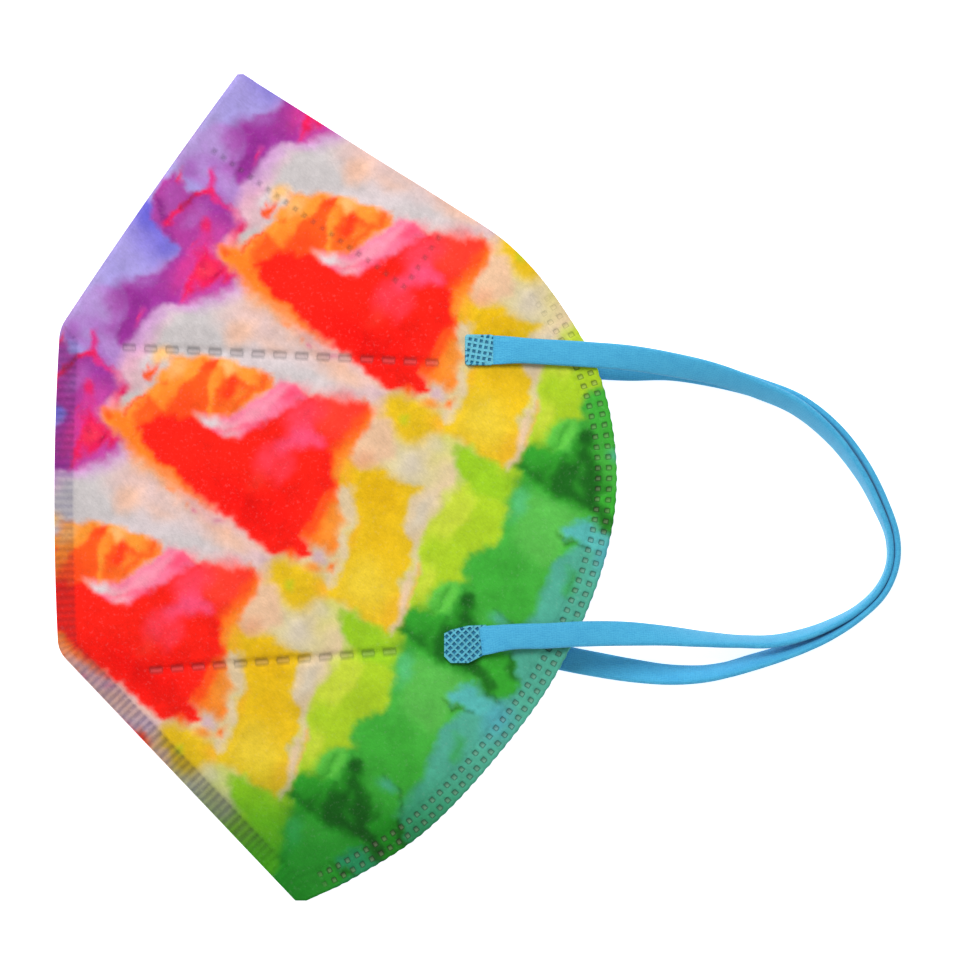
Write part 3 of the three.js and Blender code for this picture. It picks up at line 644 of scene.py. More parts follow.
    *several(Streak, Dye.DEEP_FOREST, ROUGH,
        ((2.3, 38.2), (2.7, 42), 0.2, 0.4, 0.6), ((2.7, 42), (5, 44.4), 0.25, 0.4, 0.6),
        ((5, 44.4), (8.6, 46.4), 0.25, 0.4, 0.6)),
    Blot(Dye.TEAL, 3.6, 40.2, 0.9, 1.6, 0, 0.7, 0.8),
    # teal margin
    Patch(Dye.TEAL, ((-22, 44), (-18, 44.6), (-14, 44), (-10, 43.5), (-7, 44.4), (-4, 45.4), (0, 46.4),
        (3, 46), (6, 45.4), (7.6, 45.4), (8, 50), (0, 52), (-12, 52), (-22, 50)), 0.8),
    Patch(Dye.AQUA, ((16.6, 47), (16.8, 43), (18.2, 40.6), (20.8, 39.8), (22, 41), (21.4, 43), (21, 46),
        (20, 50), (17, 51)), 0.6),
    Streak(Dye.DEEP_FOREST, (22, 39.8), (22.4, 42.4), 0.25, 0.4, 0.6),
    Streak(Dye.DEEP_FOREST, (22.4, 42.4), (20.9, 46), 0.3, 0.4, 0.7),
    Patch(Dye.MEADOW, ((9, 43), (12, 41.2), (14, 42), (15.6, 45), (16.2, 48.6), (14.2, 51.4), (11.4, 50.8),
        (9.4, 48.6), (8, 46.6), (7.8, 44.6))),
    *several(Streak, Dye.DEEP_FOREST, ROUGH,
        ((13.4, 41.6), (14.4, 46), 1.1, 0.9, 0.85), ((8.2, 45.4), (10.8, 49.6), 0.5, 0.5, 0.8),
        ((15.8, 46.4), (16, 50.4), 0.4, 0.5, 0.7)),
    Streak(Dye.MEADOW, (-12, 47), (-8.6, 47.6), 0.9, 0.9, 0.7),
    Blot(Dye.WATER, 19.6, 51, 3.4, 2, 0, 1.4, 0.7),
)


@dataclass(frozen=True)
class Clouds:
    """Smooth noise in space, with an even mean and a reach of about 1 either way."""

    seed: int
    wavelength: float
    octaves: int = 3
    roughness: float = 0.55
    shrink: float = 2.07
    shift: float = 17.3
    gain: float = 1.6

    def at(self, place: Array) -> Array:
        """The noise at places.

        Args:
            place: the places, one to a row.

        Returns:
            One number for each.
        """
        total = np.zeros(len(place))
        weight, size = 1.0, self.wavelength
        for octave in range(self.octaves):
            total += weight * self.layer(place / size + self.shift * octave, self.seed + 101 * octave)
            weight *= self.roughness
            size /= self.shrink
        return total * self.gain

    def layer(self, place: Array, seed: int) -> Array:
        """One layer of gradient noise, with cells of size 1.

        Args:
            place: the places, one to a row.
            seed: what sets its slopes, which large odd numbers scatter over the cells.

        Returns:
            One number for each place.
        """
        cell = np.floor(place).astype(np.int64)
        inside = place - cell
        fade = inside**3 * (inside * (inside * 6 - 15) + 10)
        total = np.zeros(len(place))
        for corner in np.ndindex(2, 2, 2):
            key = (cell + corner) @ np.array([73856093, 19349663, 83492791]) + seed * 2654435761
            key = (key ^ (key >> 13)) * 1274126177 & 0x7FFFFFFF
            key = (key ^ (key >> 15)) * 69069 & 0x7FFFFFFF
            slope = np.stack([(key >> bits) % 1024 / 511.5 - 1 for bits in (3, 11, 19)], 1)
            share = np.prod(np.where(corner, fade, 1 - fade), 1)
            total += share * ((inside - corner) * slope).sum(1)
        return total


@dataclass(frozen=True)
class TieDye:
    """The printed pattern: blots of dye that repeat along one direction of the cloth."""

    repeat: float = 38.3
    bleed: float = 1.4
    turn: float = 124.0
    sag: float = 1.4
    sag_start: float = -10.0
    sag_end: float = -30.0
    wander: float = 1.0
    wander_clouds: Clouds = Clouds(seed=7, wavelength=6.5)
    fray: float = 0.40
    fray_clouds: Clouds = Clouds(seed=17, wavelength=2.4)
    fuzz: float = 0.24
    fuzz_clouds: Clouds = Clouds(seed=27, wavelength=1.1)
    mottle: float = 0.09
    mottle_clouds: Clouds = Clouds(seed=91, wavelength=5.0, octaves=4, roughness=0.7)
    grain: float = 0.06
    grain_clouds: Clouds = Clouds(seed=57, wavelength=1.3, octaves=3, roughness=0.6)

    def chart_place(self, x: Array, y: Array) -> tuple[Array, Array]:
        """The place on the print of points of the near half.

        Args:
            x, y: the points' places.

        Returns:
            The places along and across the repeat.
        """
        angle = math.radians(-self.turn)
        along = x * math.cos(angle) + y * math.sin(angle)
        across = y * math.cos(angle) - x * math.sin(angle)
        sag = self.sag * ease((self.sag_start - along) / (self.sag_start - self.sag_end))
        return along, across - sag

    def drum(self, along: Array, across: Array) -> Array:
        """Places on a drum whose girth is the repeat. The print is wound on it, so it has no joint."""
        radius = self.repeat / (2 * math.pi)
        return np.stack([np.cos(along / radius) * radius, np.sin(along / radius) * radius, across], 1)

    def colours(self, along: Array, across: Array) -> Array:
        """The dye at places of the print.

        Args:
            along, across: the places along and across the repeat.

        Returns:
            Linear colours, one to a row.
        """
        place = self.drum(along, across)
        wander = self.wobble(self.wander_clouds, self.wander, place)
        wander = wander + self.wobble(self.fuzz_clouds, self.fuzz, place)
        fray = wander + self.wobble(self.fray_clouds, self.fray, place)
        places = {
            Edge.SOFT: (along + wander[0], across + wander[1]),
            Edge.ROUGH: (along + fray[0], across + fray[1]),
        }
        stops = np.array([stop for stop, _ in GROUND])
        dyes = np.array([linear(dye.value)[:3] for _, dye in GROUND])
        colour = np.stack([np.interp(places[Edge.SOFT][1], stops, dyes[:, k]) for k in range(3)], 1)
        for shape in CHART:
            share = self.cover(shape, *places[shape.edge])[:, None]
            colour += (np.array(linear(shape.dye.value)[:3]) - colour) * share
        mottle = self.mottle * self.mottle_clouds.at(place)
        grain = self.grain * self.grain_clouds.at(place)
        return np.clip(colour * (1 + mottle + grain)[:, None], 0, 1)

    def wobble(self, clouds: Clouds, reach: float, place: Array) -> Array:
        """Shifts along and across the repeat, of about the given reach."""
        return np.stack([clouds.at(place), replace(clouds, seed=clouds.seed + 1).at(place)]) * reach

    def cover(self, shape: Shape, along: Array, across: Array) -> Array:
        """How much of one shape's dye there is at places.

        Args:
            shape: the shape.
            along, across: the places along and across the repeat.

        Returns:
            The shares.
        """
        middle = shape.middle()
        nearest = (along - middle + self.repeat / 2) % self.repeat - self.repeat / 2 + middle
        return shape.strength * ease(shape.inside(nearest, across) / (2 * self.bleed * shape.fade) + 0.5)


# ---------------------------------------------------------------- finishes


@dataclass(frozen=True)
class PrintedCloth:
    """The outer nonwoven with its print: matt, fine-fibred, and darker where it is pressed, with painted
    shade on the weld, towards the chin and round the marks' rims.
    """

    name: str = "printed_nonwoven"
    roughness: float = 0.86
    gloss: float = 0.12
    cloud: Grain = Grain(0.16, 3.0, 0.6)
    cloud_ends: Point = (0.25, 0.75)
    cloud_shades: Point = (0.93, 1.05)
    fleck: Grain = Grain(1.0, 3.0, 0.7)
    fleck_ends: Point = (0.2, 0.8)
    fleck_shades: Point = (0.91, 1.07)
    fleck_slant: Point = (2.6, 0.9)
    crumb: Grain = Grain(1.5, 2.0, 0.6)
    crumb_ends: Point = (0.56, 0.74)
    fibre: Grain = Grain(2.6, 3.0, 0.65)
    fibre_stretch: Triple = (1.0, 3.2, 1.0)
    cross: Grain = Grain(2.2, 3.0, 0.65)
    cross_stretch: Triple = (3.0, 0.9, 1.0)
    fibre_height: float = 0.09
    speck: Colour = (238, 230, 234)
    speck_share: float = 0.035
    # the weld's pressed tone with painted shade, laid on by the weld share, which also holds painted shade
    # towards the chin; the fused grey follows the same share
    weld_tone_and_shade_colour: Colour = (174, 176, 206)
    fused: Colour = (104, 94, 104)
    fused_share: float = 0.13
    pressed: Colour = (124, 114, 118)
    pressed_share: float = 0.3
    melted: Colour = (164, 152, 140)
    melted_share: float = 0.26
    # painted shade round the rims of the dashes and dots
    painted_rim_shade: Colour = (92, 112, 116)
    dash_painted_shade: float = 0.3
    dot_painted_shade: float = 0.62

    def material(self) -> bpy.types.Material:
        """Builds the material.

        Returns:
            The material.
        """
        shader = Shader(self.name)
        solid = shader.place()
        colour = self.clothed(shader, shader.attribute("dye", "Color"), solid)
        colour = self.marked(shader, colour)
        fibre = shader.noise(shader.stretch(solid, self.fibre_stretch), self.fibre)
        cross = shader.noise(shader.stretch(solid, self.cross_stretch), self.cross)
        shader.bump(shader.math("ADD", fibre, cross), self.fibre_height)
        return shader.finish(colour, self.roughness, self.gloss)

    def clothed(self, shader: Shader, colour: Socket, solid: Socket) -> Socket:
        """The dye as the uneven cloth shows it: cloudy, flecked along its fibres, with pale specks.

        Args:
            shader, colour, solid: the material, the dye and the place in millimetres.

        Returns:
            The colour.
        """
        cloud = shader.noise(solid, self.cloud)
        colour = shader.shaded(colour, cloud, self.cloud_ends, self.cloud_shades)
        x, y, z = shader.split(solid)
        run = shader.times(shader.math("ADD", x, y), self.fleck_slant[0])
        rise = shader.times(shader.math("SUBTRACT", x, y), self.fleck_slant[1])
        fleck = shader.noise(shader.join(run, rise, z), self.fleck)
        colour = shader.shaded(colour, fleck, self.fleck_ends, self.fleck_shades)
        speck = shader.span(shader.noise(solid, self.crumb), *self.crumb_ends, end=self.speck_share)
        return shader.blend(speck, colour, linear(self.speck))

    def marked(self, shader: Shader, colour: Socket) -> Socket:
        """The colour with the weld, the dashes and the dots on it, and with painted shade on the weld and
        round the marks' rims.

        Args:
            shader, colour: the material, and the cloth's colour.

        Returns:
            The colour.
        """
        weld, dash = shader.attribute("weld"), shader.attribute("dash")
        dot, shown = shader.attribute("dot"), shader.attribute("shown")
        # the weld share is the weld's pressed tone with painted shade between its bars, below the front's
        # corner and towards the chin
        colour = shader.blend(weld, colour, linear(self.weld_tone_and_shade_colour), "MULTIPLY")
        colour = shader.blend(shader.times(weld, self.fused_share), colour, linear(self.fused))
        colour = shader.blend(shader.times(dash, self.pressed_share), colour, linear(self.pressed))
        # painted shade half-way down the walls of the dashes, and below that of the dots
        colour = self.with_painted_rim_shade(shader, colour, dash, self.dash_painted_shade)
        melt = shader.times(shader.times(dot, shown), self.melted_share)
        colour = shader.blend(melt, colour, linear(self.melted))
        return self.with_painted_rim_shade(shader, colour, dot, shader.times(shown, self.dot_painted_shade))

    def with_painted_rim_shade(self, shader: Shader, colour: Socket, share: Socket, strength: object) -> Socket:
        """The colour with a mark's rim darkened by painted shade, most of it half-way down the mark's wall.

        Args:
            shader, colour: the material, and the colour without the rim's painted shade.
            share: how much inside the mark the place is.
            strength: how dark the rim's painted shade is.

        Returns:
            The colour.
        """
        wall = shader.times(share, shader.math("SUBTRACT", 1.0, share))
        rim = shader.times(shader.times(wall, 4.0), strength)
        return shader.blend(rim, colour, linear(self.painted_rim_shade), "MULTIPLY")


@dataclass(frozen=True)
class LiningCloth:
    """The white nonwoven inside and at the cut edge."""

    name: str = "white_lining"
    colour: Colour = (238, 237, 234)
    shade: Colour = (214, 214, 213)
    roughness: float = 0.9
    gloss: float = 0.2
    fibre: Grain = Grain(1.9, 4.0, 0.65)
    fibre_stretch: Triple = (1.0, 2.6, 2.6)
    fibre_ends: Point = (0.3, 0.7)
    fibre_height: float = 0.12

    def material(self) -> bpy.types.Material:
        """Builds the material.

        Returns:
            The material.
        """
        shader = Shader(self.name)
        fibre = shader.noise(shader.stretch(shader.place(), self.fibre_stretch), self.fibre)
        colour = shader.blend(shader.span(fibre, *self.fibre_ends), linear(self.shade), linear(self.colour))
        shader.bump(fibre, self.fibre_height)
        return shader.finish(colour, self.roughness, self.gloss)


@dataclass(frozen=True)
class KnittedElastic:
    """The soft light blue strap: a fine knit with rows of stitches along it, with painted shade in the knit's
    valleys.
    """

    name: str = "loop_elastic"
    colour: Colour = (74, 176, 216)
    # painted shade where the knit is low, mixed with random cloud
    valley_shade: Colour = (50, 150, 200)
    rows: float = 2.6
    stitches: float = 2.2
    cloud: Grain = Grain(0.5, 3.0, 0.6)
    fine: Grain = Grain(3.2, 3.0, 0.65)
    drift: float = 1.6
    row_share: float = 0.5
    stitch_share: float = 0.2
    knit_share: float = 0.35
    cloud_share: float = 0.6
    ends: Point = (0.2, 1.2)
    roughness: float = 0.72
    gloss: float = 0.3
    sheen: float = 0.15
    knit_height: float = 0.07

    def material(self) -> bpy.types.Material:
        """Builds the material.

        Returns:
            The material.
        """
        shader = Shader(self.name)
        along, across, _ = shader.split(shader.uv("strap"))
        solid = shader.place()
        cloud, fine = shader.noise(solid, self.cloud), shader.noise(solid, self.fine)
        drift = shader.times(shader.math("SUBTRACT", cloud, 0.5), self.drift)
        row = shader.math("SINE", shader.times(shader.math("ADD", across, drift), self.rows * 2 * math.pi))
        stitch = shader.math("SINE", shader.times(along, self.stitches * 2 * math.pi))
        knit = shader.math("ADD", shader.times(row, self.row_share), shader.times(stitch, self.stitch_share))
        height = shader.math("ADD", shader.times(knit, self.knit_share), fine)
        share = shader.span(shader.math("ADD", height, shader.times(cloud, self.cloud_share)), *self.ends)
        shader.bump(height, self.knit_height)
        shader.put(shader.surface["Sheen Weight"], self.sheen)
        # painted shade in the knit's valleys, with random tone from the cloud
        colour = shader.blend(share, linear(self.valley_shade), linear(self.colour))
        return shader.finish(colour, self.roughness, self.gloss)


@dataclass(frozen=True)
class PressedElastic:
    """The same elastic where it is pressed: the bars stay light, and the cells are dark."""

    name: str = "pressed_elastic"
    colour: Colour = (94, 190, 214)
    roughness: float = 0.5
    darker: float = 0.82
    gloss: float = 0.4
    grain: Grain = Grain(2.4, 3.0, 0.6)
    grain_ends: Point = (0.3, 0.7)
    grain_height: float = 0.04

    def material(self) -> bpy.types.Material:
        """Builds the material.

        Returns:
            The material.
        """
        shader = Shader(self.name)
        grain = shader.noise(shader.place(), self.grain)
        dark = tuple(channel * self.darker for channel in self.colour)
        colour = shader.blend(shader.span(grain, *self.grain_ends), linear(dark), linear(self.colour))
        shader.bump(grain, self.grain_height)
        return shader.finish(colour, self.roughness, self.gloss)


@dataclass(frozen=True)
class PaleFloor:
    """A plain white table."""

    name: str = "pale_floor"
    colour: Colour = (250, 250, 250)
    glow: float = 0.7

    def material(self) -> bpy.types.Material:
        """Builds the material.

        Returns:
            The material.
        """
        shader = Shader(self.name)
        shader.put(shader.surface["Emission Color"], (1, 1, 1, 1))
        shader.put(shader.surface["Emission Strength"], self.glow)
        return shader.finish(linear(self.colour), roughness=1.0, gloss=0.0)


# ---------------------------------------------------------------- curves


def quadratic(start: Point, control: Point, end: Point, steps: int) -> list[Point]:
    """Points of a quadratic curve, without its first one.

    Args:
        start, control, end: where it starts, what it bends towards and where it ends.
        steps: how many points it gives.

    Returns:
        The points.
    """
    points = []
    for step in range(1, steps + 1):
        t = step / steps
        a, b, c = (1 - t) ** 2, 2 * t * (1 - t), t * t
        points.append(tuple(a * start[k] + b * control[k] + c * end[k] for k in range(2)))
    return points


def towards(start: Point, end: Point, distance: float) -> Point:
    """The point at a distance from one point towards another.

    Args:
        start, end: the points.
        distance: the distance from the first one.

    Returns:
        The point.
    """
    run, rise = end[0] - start[0], end[1] - start[1]
    length = math.hypot(run, rise)
    return start[0] + run * distance / length, start[1] + rise * distance / length


def catmull_rom(points: Array, count: int, power: float) -> Array:
    """A smooth curve through points, with its ends mirrored.

    Args:
        points: the points, one to a row.
        count: how many points each stretch gives.
        power: 0 for even knots, 0.5 for knots by the root of the distance.

    Returns:
        The curve's points.
    """
    knots = np.array([2 * points[0] - points[1], *points, 2 * points[-1] - points[-2]])
    curve = []
    for i in range(1, len(knots) - 2):
        p0, p1, p2, p3 = knots[i - 1 : i + 3]
        gaps = [max(float(np.linalg.norm(b - a)) ** power, 1e-9) for a, b in ((p0, p1), (p1, p2), (p2, p3))]
        m1 = (p1 - p0) / gaps[0] - (p2 - p0) / (gaps[0] + gaps[1]) + (p2 - p1) / gaps[1]
        m2 = (p2 - p1) / gaps[1] - (p3 - p1) / (gaps[1] + gaps[2]) + (p3 - p2) / gaps[2]
        m1, m2 = m1 * gaps[1], m2 * gaps[1]
        for step in range(count):
            t = step / count
            places = (2 * t**3 - 3 * t**2 + 1) * p1 + (t**3 - 2 * t**2 + t) * m1
            curve.append(places + (-2 * t**3 + 3 * t**2) * p2 + (t**3 - t**2) * m2)
    curve.append(knots[-2])
    return np.array(curve)


@dataclass
class Polyline:
    """A line through points, with the length along it."""

    points: Array
    lengths: Array = field(init=False)

    def __post_init__(self) -> None:
        """Works out the length at each point."""
        steps = np.linalg.norm(np.diff(self.points, axis=0), axis=1)
        self.lengths = np.concatenate([[0.0], np.cumsum(steps)])

    @property
    def length(self) -> float:
        """The whole length."""
        return float(self.lengths[-1])

    def at(self, places: Array) -> Array:
        """The points at given lengths along the line."""
        return np.stack([np.interp(places, self.lengths, column) for column in self.points.T], 1)

    def directions(self, places: Array, reach: float = 0.6) -> Array:
        """The directions of the line.

        Args:
            places: lengths along the line.
            reach: how far before and after each place the direction is taken.

        Returns:
            The directions, of length 1.
        """
        ahead = self.at(np.minimum(places + reach, self.length))
        steps = ahead - self.at(np.maximum(places - reach, 0.0))
        return steps / np.linalg.norm(steps, axis=1, keepdims=True)

    def left(self, places: Array, reach: float = 0.6) -> Array:
        """The directions to the left of a flat line's run, at given lengths along it."""
        ahead = self.directions(places, reach)
        return np.stack([-ahead[:, 1], ahead[:, 0]], 1)

    def nearest(self, points: Array) -> tuple[Array, Array]:
        """How far points are from the line, and where on it they are nearest.

        Args:
            points: the points, one to a row.

        Returns:
            The distances, and the lengths along the line.
        """
        starts, steps = self.points[:-1], np.diff(self.points, axis=0)
        squares = np.maximum((steps**2).sum(1), 1e-12)
        distances, places = [], []
        for chunk in np.array_split(points, max(1, len(points) // 4000)):
            offset = chunk[:, None, :] - starts[None]
            share = np.clip((offset * steps).sum(2) / squares, 0, 1)
            gap = np.linalg.norm(offset - share[..., None] * steps, axis=2)
            best = gap.argmin(1)
            rows = np.arange(len(chunk))
            distances.append(gap[rows, best])
            places.append(self.lengths[best] + share[rows, best] * np.sqrt(squares[best]))
        return np.concatenate(distances), np.concatenate(places)


# ---------------------------------------------------------------- the folded shell


@dataclass
class ShellOutline:
    """The folded shell seen from above, from the construction's own sizes."""

    half_length: float
    half_width: float
    nose_tip: float = -18.2
    nose_tip_width: float = 0.8
    chin_tip: float = -6.6
    chin_tip_width: float = 1.8
    front_top: Point = (-52.8, 30.4)
    front_bottom: Point = (-53.1, -31.2)
    front_bow: Point = (-54.5, 0.0)
    nose_bow: Point = (-36.1, 55.6)
    corner_cut: float = 2.2
    nose_steps: int = 48
    corner_steps: int = 10
    front_steps: int = 32
    cheek_steps: int = 16
    cheek_points: tuple[Point, ...] = (
        (-5.2, 71.2), (8.4, 62.5), (21.2, 54.4), (33.5, 46.0), (43.2, 34.6), (50.9, 20.0),
        (53.7, 2.0), (50.9, -15.6), (42.4, -35.2), (30.8, -51.4), (17.2, -65.8), (3.4, -74.9),
    )

    def front(self) -> Polyline:
        """The nose fold, the front and the chin, from the nose tip to the chin tip.

        Returns:
            The line.
        """
        nose = (self.nose_tip - self.nose_tip_width / 2, self.half_length)
        chin = (self.chin_tip - self.chin_tip_width / 2, -self.half_length)
        fold_end = towards(self.front_top, nose, self.corner_cut)
        front_start = towards(self.front_top, self.front_bottom, self.corner_cut)
        front_end = towards(self.front_bottom, self.front_top, self.corner_cut)
        chin_start = towards(self.front_bottom, chin, self.corner_cut)
        points = [nose]
        points += quadratic(nose, self.nose_bow, fold_end, self.nose_steps)
        points += quadratic(fold_end, self.front_top, front_start, self.corner_steps)
        points += quadratic(front_start, self.front_bow, front_end, self.front_steps)
        points += quadratic(front_end, self.front_bottom, chin_start, self.corner_steps)
        points.append(chin)
        return Polyline(np.array(points))

    def cheek(self) -> Polyline:
        """The free cheek edge, from the nose tip to the chin tip.

        Returns:
            The line.
        """
        nose = (self.nose_tip + self.nose_tip_width / 2, self.half_length)
        chin = (self.chin_tip + self.chin_tip_width / 2, -self.half_length)
        return Polyline(catmull_rom(np.array([nose, *self.cheek_points, chin]), self.cheek_steps, 0.0))


@dataclass
class Places:
    """Places on the shell seen from above.

    front and cheek are the nearest places along the two edges, and from_front and from_cheek the
    distances from them.
    """

    x: Array
    y: Array
    from_front: Array
    front: Array
    from_cheek: Array
    cheek: Array


@dataclass(frozen=True)
class Ripple:
    """Waves of the cloth along two directions, each with its own length, phase and slant."""

    lengths: Point
    phases: Point
    slants: Point
    height: float

    def at(self, at: Places) -> Array:
        """Its height at places."""
        first = np.sin((at.x + self.slants[0] * at.y) / self.lengths[0] + self.phases[0])
        return first * np.sin((at.y - self.slants[1] * at.x) / self.lengths[1] + self.phases[1]) * self.height


@dataclass(frozen=True)
class Crease:
    """A shallow groove across the near half, from one place along X to another."""

    y: float
    slope: float
    start: float
    end: float
    depth: float
    width: float
    fade: float = 5.0

    def at(self, at: Places) -> Array:
        """Its depth at places."""
        window = ease((at.x - self.start) / self.fade) * ease((self.end - at.x) / self.fade)
        return self.depth * window * ease(1 - np.abs(at.y - self.y - self.slope * at.x) / self.width)


@dataclass(frozen=True)
class Mark:
    """A pressed mark: a small box, with round walls, sunk into the cloth."""

    x: float
    y: float
    half_length: float
    half_width: float
    turn: float
    depth: float
    wall: float

    def at(self, x: Array, y: Array) -> Array:
        """How much inside the mark places are.

        Args:
            x, y: the places.

        Returns:
            The shares, 0.5 on its outline.
        """
        run, rise = x - self.x, y - self.y
        u = run * math.cos(self.turn) + rise * math.sin(self.turn)
        v = rise * math.cos(self.turn) - run * math.sin(self.turn)
        inside = np.minimum(self.half_length - np.abs(u), self.half_width - np.abs(v))
        return ease(inside / self.wall + 0.5)

    def net(self, step: float, margin: float = 0.45) -> Array:
        """A net of points over the mark and its walls.

        Args:
            step: about the distance between its points.
            margin: how far it goes past the mark.

        Returns:
            The points.
        """
        reaches = (self.half_length + margin, self.half_width + margin)
        u, v = (np.linspace(-reach, reach, max(4, round(2 * reach / step))) for reach in reaches)
        u, v = (grid.ravel() for grid in np.meshgrid(u, v))
        x = self.x + u * math.cos(self.turn) - v * math.sin(self.turn)
        return np.stack([x, self.y + u * math.sin(self.turn) + v * math.cos(self.turn)], 1)


@dataclass
class PressedLines:
    """The dashes along the two creases and the weld dots of the nose pocket.

    Each line is its first mark's place, its last one's, and how many marks there are.
    """

    dash_half: Point = (1.25, 0.58)
    dash_depth: float = 0.34
    upper_share: float = 0.8
    dot_half: Point = (0.32, 0.32)
    dot_depth: float = 0.26
    wall: float = 0.3
    reach: float = 3.0
    upper_dashes: tuple[Point, Point, int] = ((-39.3, 26.7), (18.7, 23.7), 15)
    lower_dashes: tuple[Point, Point, int] = ((-34.2, -35.0), (10.6, -31.3), 12)
    pocket_top: tuple[Point, Point, int] = ((-23.1, 64.4), (13.4, 38.2), 22)
    pocket_end: tuple[Point, Point, int] = ((14.8, 40.0), (19.9, 47.5), 5)

    def row(self, line: tuple[Point, Point, int], half: Point, depth: float) -> list[Mark]:
        """Evenly spaced marks from one point to another.

        Args:
            line: the first mark's place, the last one's, and how many there are.
            half: half of a mark's length and width.
            depth: how deep a mark is.

        Returns:
            The marks.
        """
        (x0, y0), (x1, y1), count = line
        turn = math.atan2(y1 - y0, x1 - x0)
        shares = [index / (count - 1) for index in range(count)]
        places = [(mix(x0, x1, share), mix(y0, y1, share)) for share in shares]
        return [Mark(*place, *half, turn, depth, self.wall) for place in places]

    def dashes(self) -> list[Mark]:
        """The dashes along both creases."""
        upper = self.row(self.upper_dashes, self.dash_half, self.dash_depth * self.upper_share)
        return upper + self.row(self.lower_dashes, self.dash_half, self.dash_depth)

    def dots(self) -> list[Mark]:
        """The dots round the nose pocket."""
        lines = (self.pocket_top, self.pocket_end)
        return [mark for line in lines for mark in self.row(line, self.dot_half, self.dot_depth)]

    def pressed(self, marks: list[Mark], at: Places) -> tuple[Array, Array]:
        """How deep, and how much inside a mark, places are.

        Args:
            marks, at: the marks and the places.

        Returns:
            The depths and the shares.
        """
        depth, share = np.zeros_like(at.x), np.zeros_like(at.x)
        for mark in marks:
            near = (np.abs(at.x - mark.x) < self.reach) & (np.abs(at.y - mark.y) < self.reach)
            here = mark.at(at.x[near], at.y[near])
            depth[near] = np.maximum(depth[near], here * mark.depth)
            share[near] = np.maximum(share[near], here)
        return depth, share


@dataclass
class HemDots:
    """The two rows of square weld dots along the hem, which show more and more towards the chin."""

    pitch: float = 2.1
    rows: tuple[float, float] = (1.3, 3.4)
    half: float = 0.46
    wall: float = 0.22
    depth: float = 0.46
    start: float = 66.0
    ramp: float = 28.0
    faint: float = 0.03
    clear: float = 5.0
    clear_run: float = 3.0

    def at(self, at: Places) -> Array:
        """How much inside a dot places are.

        Args:
            at: the places.

        Returns:
            The shares.
        """
        phase = np.abs((at.cheek / self.pitch + 0.5) % 1.0 - 0.5) * self.pitch
        across = np.minimum(*(np.abs(at.from_cheek - row) for row in self.rows))
        return ease(np.minimum(self.half - phase, self.half - across) / self.wall + 0.5)

    def shown(self, at: Places) -> Array:
        """How much the dots show at places."""
        fade = ease((at.from_front - self.clear) / self.clear_run)
        return (self.faint + (1 - self.faint) * ease((at.cheek - self.start) / self.ramp)) * fade


@dataclass
class CrimpRibs:
    """The bars of the crimped weld, which lie across it at uneven distances and heights."""

    pitch: float = 1.47
    height: float = 0.15
    beats: tuple[Triple, ...] = ((0.12, 0.83, 0.0), (0.2, 0.31, 1.0))
    edge: float = 0.8
    sway: Triple = (0.55, 0.45, 0.19)

    def wave(self, along: Array) -> Array:
        """1 on a bar and -1 between two, at places along the front."""
        beat = sum(reach * np.sin(along * rate + phase) for reach, rate, phase in self.beats)
        return np.cos((along + beat) * 2 * math.pi / self.pitch)

    def rise(self, at: Places, fin: Array) -> Array:
        """How high the bars rise at places, where fin is 1 on the welded strip and 0 off it."""
        share = self.sway[0] + self.sway[1] * np.sin(at.front * self.sway[2])
        return self.height * self.wave(at.front) * fin * ease(at.from_front / self.edge) * share


@dataclass
class WeldToneAndShade:
    """How much of the weld's pressed tone and painted shade places take: most between the bars and less at
    the chin's tip, with painted shade that grows towards the chin's tip.
    """

    fin: float = 0.66
    # painted shade: the weld is darker between its bars than on them
    bars: float = 0.2
    tip_start: float = 65.0
    tip_run: float = 7.0
    tip_fade: float = 0.8
    # the weld's tone and painted shade grow below the front's bottom corner
    front: float = 0.75
    below: float = 0.4
    below_run: float = 6.0
    chin_shade: float = 0.35
    chin_start: float = 48.0
    chin_run: float = 24.0
    fin_share: float = 0.4
    chin_shade_colour: Colour = (110, 206, 130)

    def chin(self, y: Array) -> Array:
        """How much painted shade there is towards the chin: 0 above the chin, and 1 at its tip."""
        return ease((-self.chin_start - y) / self.chin_run)

    def at(self, y: Array, bars: Array, fin: Array, corner: float) -> Array:
        """The weld's tone and painted shade at places.

        Args:
            y: the places along Y.
            bars: 1 on a bar of the weld and -1 between two.
            fin: 1 on the welded strip and 0 off it.
            corner: where the front ends and the chin starts.

        Returns:
            The shares.
        """
        below = ease((corner - y) / self.below_run)
        tip = 1 - self.tip_fade * ease((-self.tip_start - y) / self.tip_run)
        tinted = fin * (self.fin - self.bars * bars) * tip
        # painted shade that darkens the cloth towards the chin's tip, with less of it on the weld
        chin = self.chin_shade * self.chin(y) ** 2
        return np.clip(tinted * (self.front + self.below * below) + chin * (1 - self.fin_share * fin), 0, 1)


@dataclass(frozen=True)
class NetPlan:
    """Where a half's mesh has its points: along the edges, at the relief and on the panel.

    The beats are places along each dot of the hem, the rows and offsets are distances from an
    edge, and the spaces are the least distances that each layer keeps from those before it.
    """

    step: float
    mark_step: float
    hem_beats: tuple[float, ...]
    hem_rows: tuple[float, ...]
    fin_offsets: tuple[float, ...] = (0.4, 0.9, 1.7, 2.5, 3.2, 3.7, 4.2, 4.9, 5.7)
    fold_offsets: tuple[float, ...] = (0.3, 0.7, 1.3, 2.0, 2.8)
    fold_step: float = 0.8
    spaces: tuple[float, ...] = (0.14, 0.2, 0.25, 0.14)
    line_share: float = 0.866
    panel_space: float = 0.62
    edge_space: float = 0.22


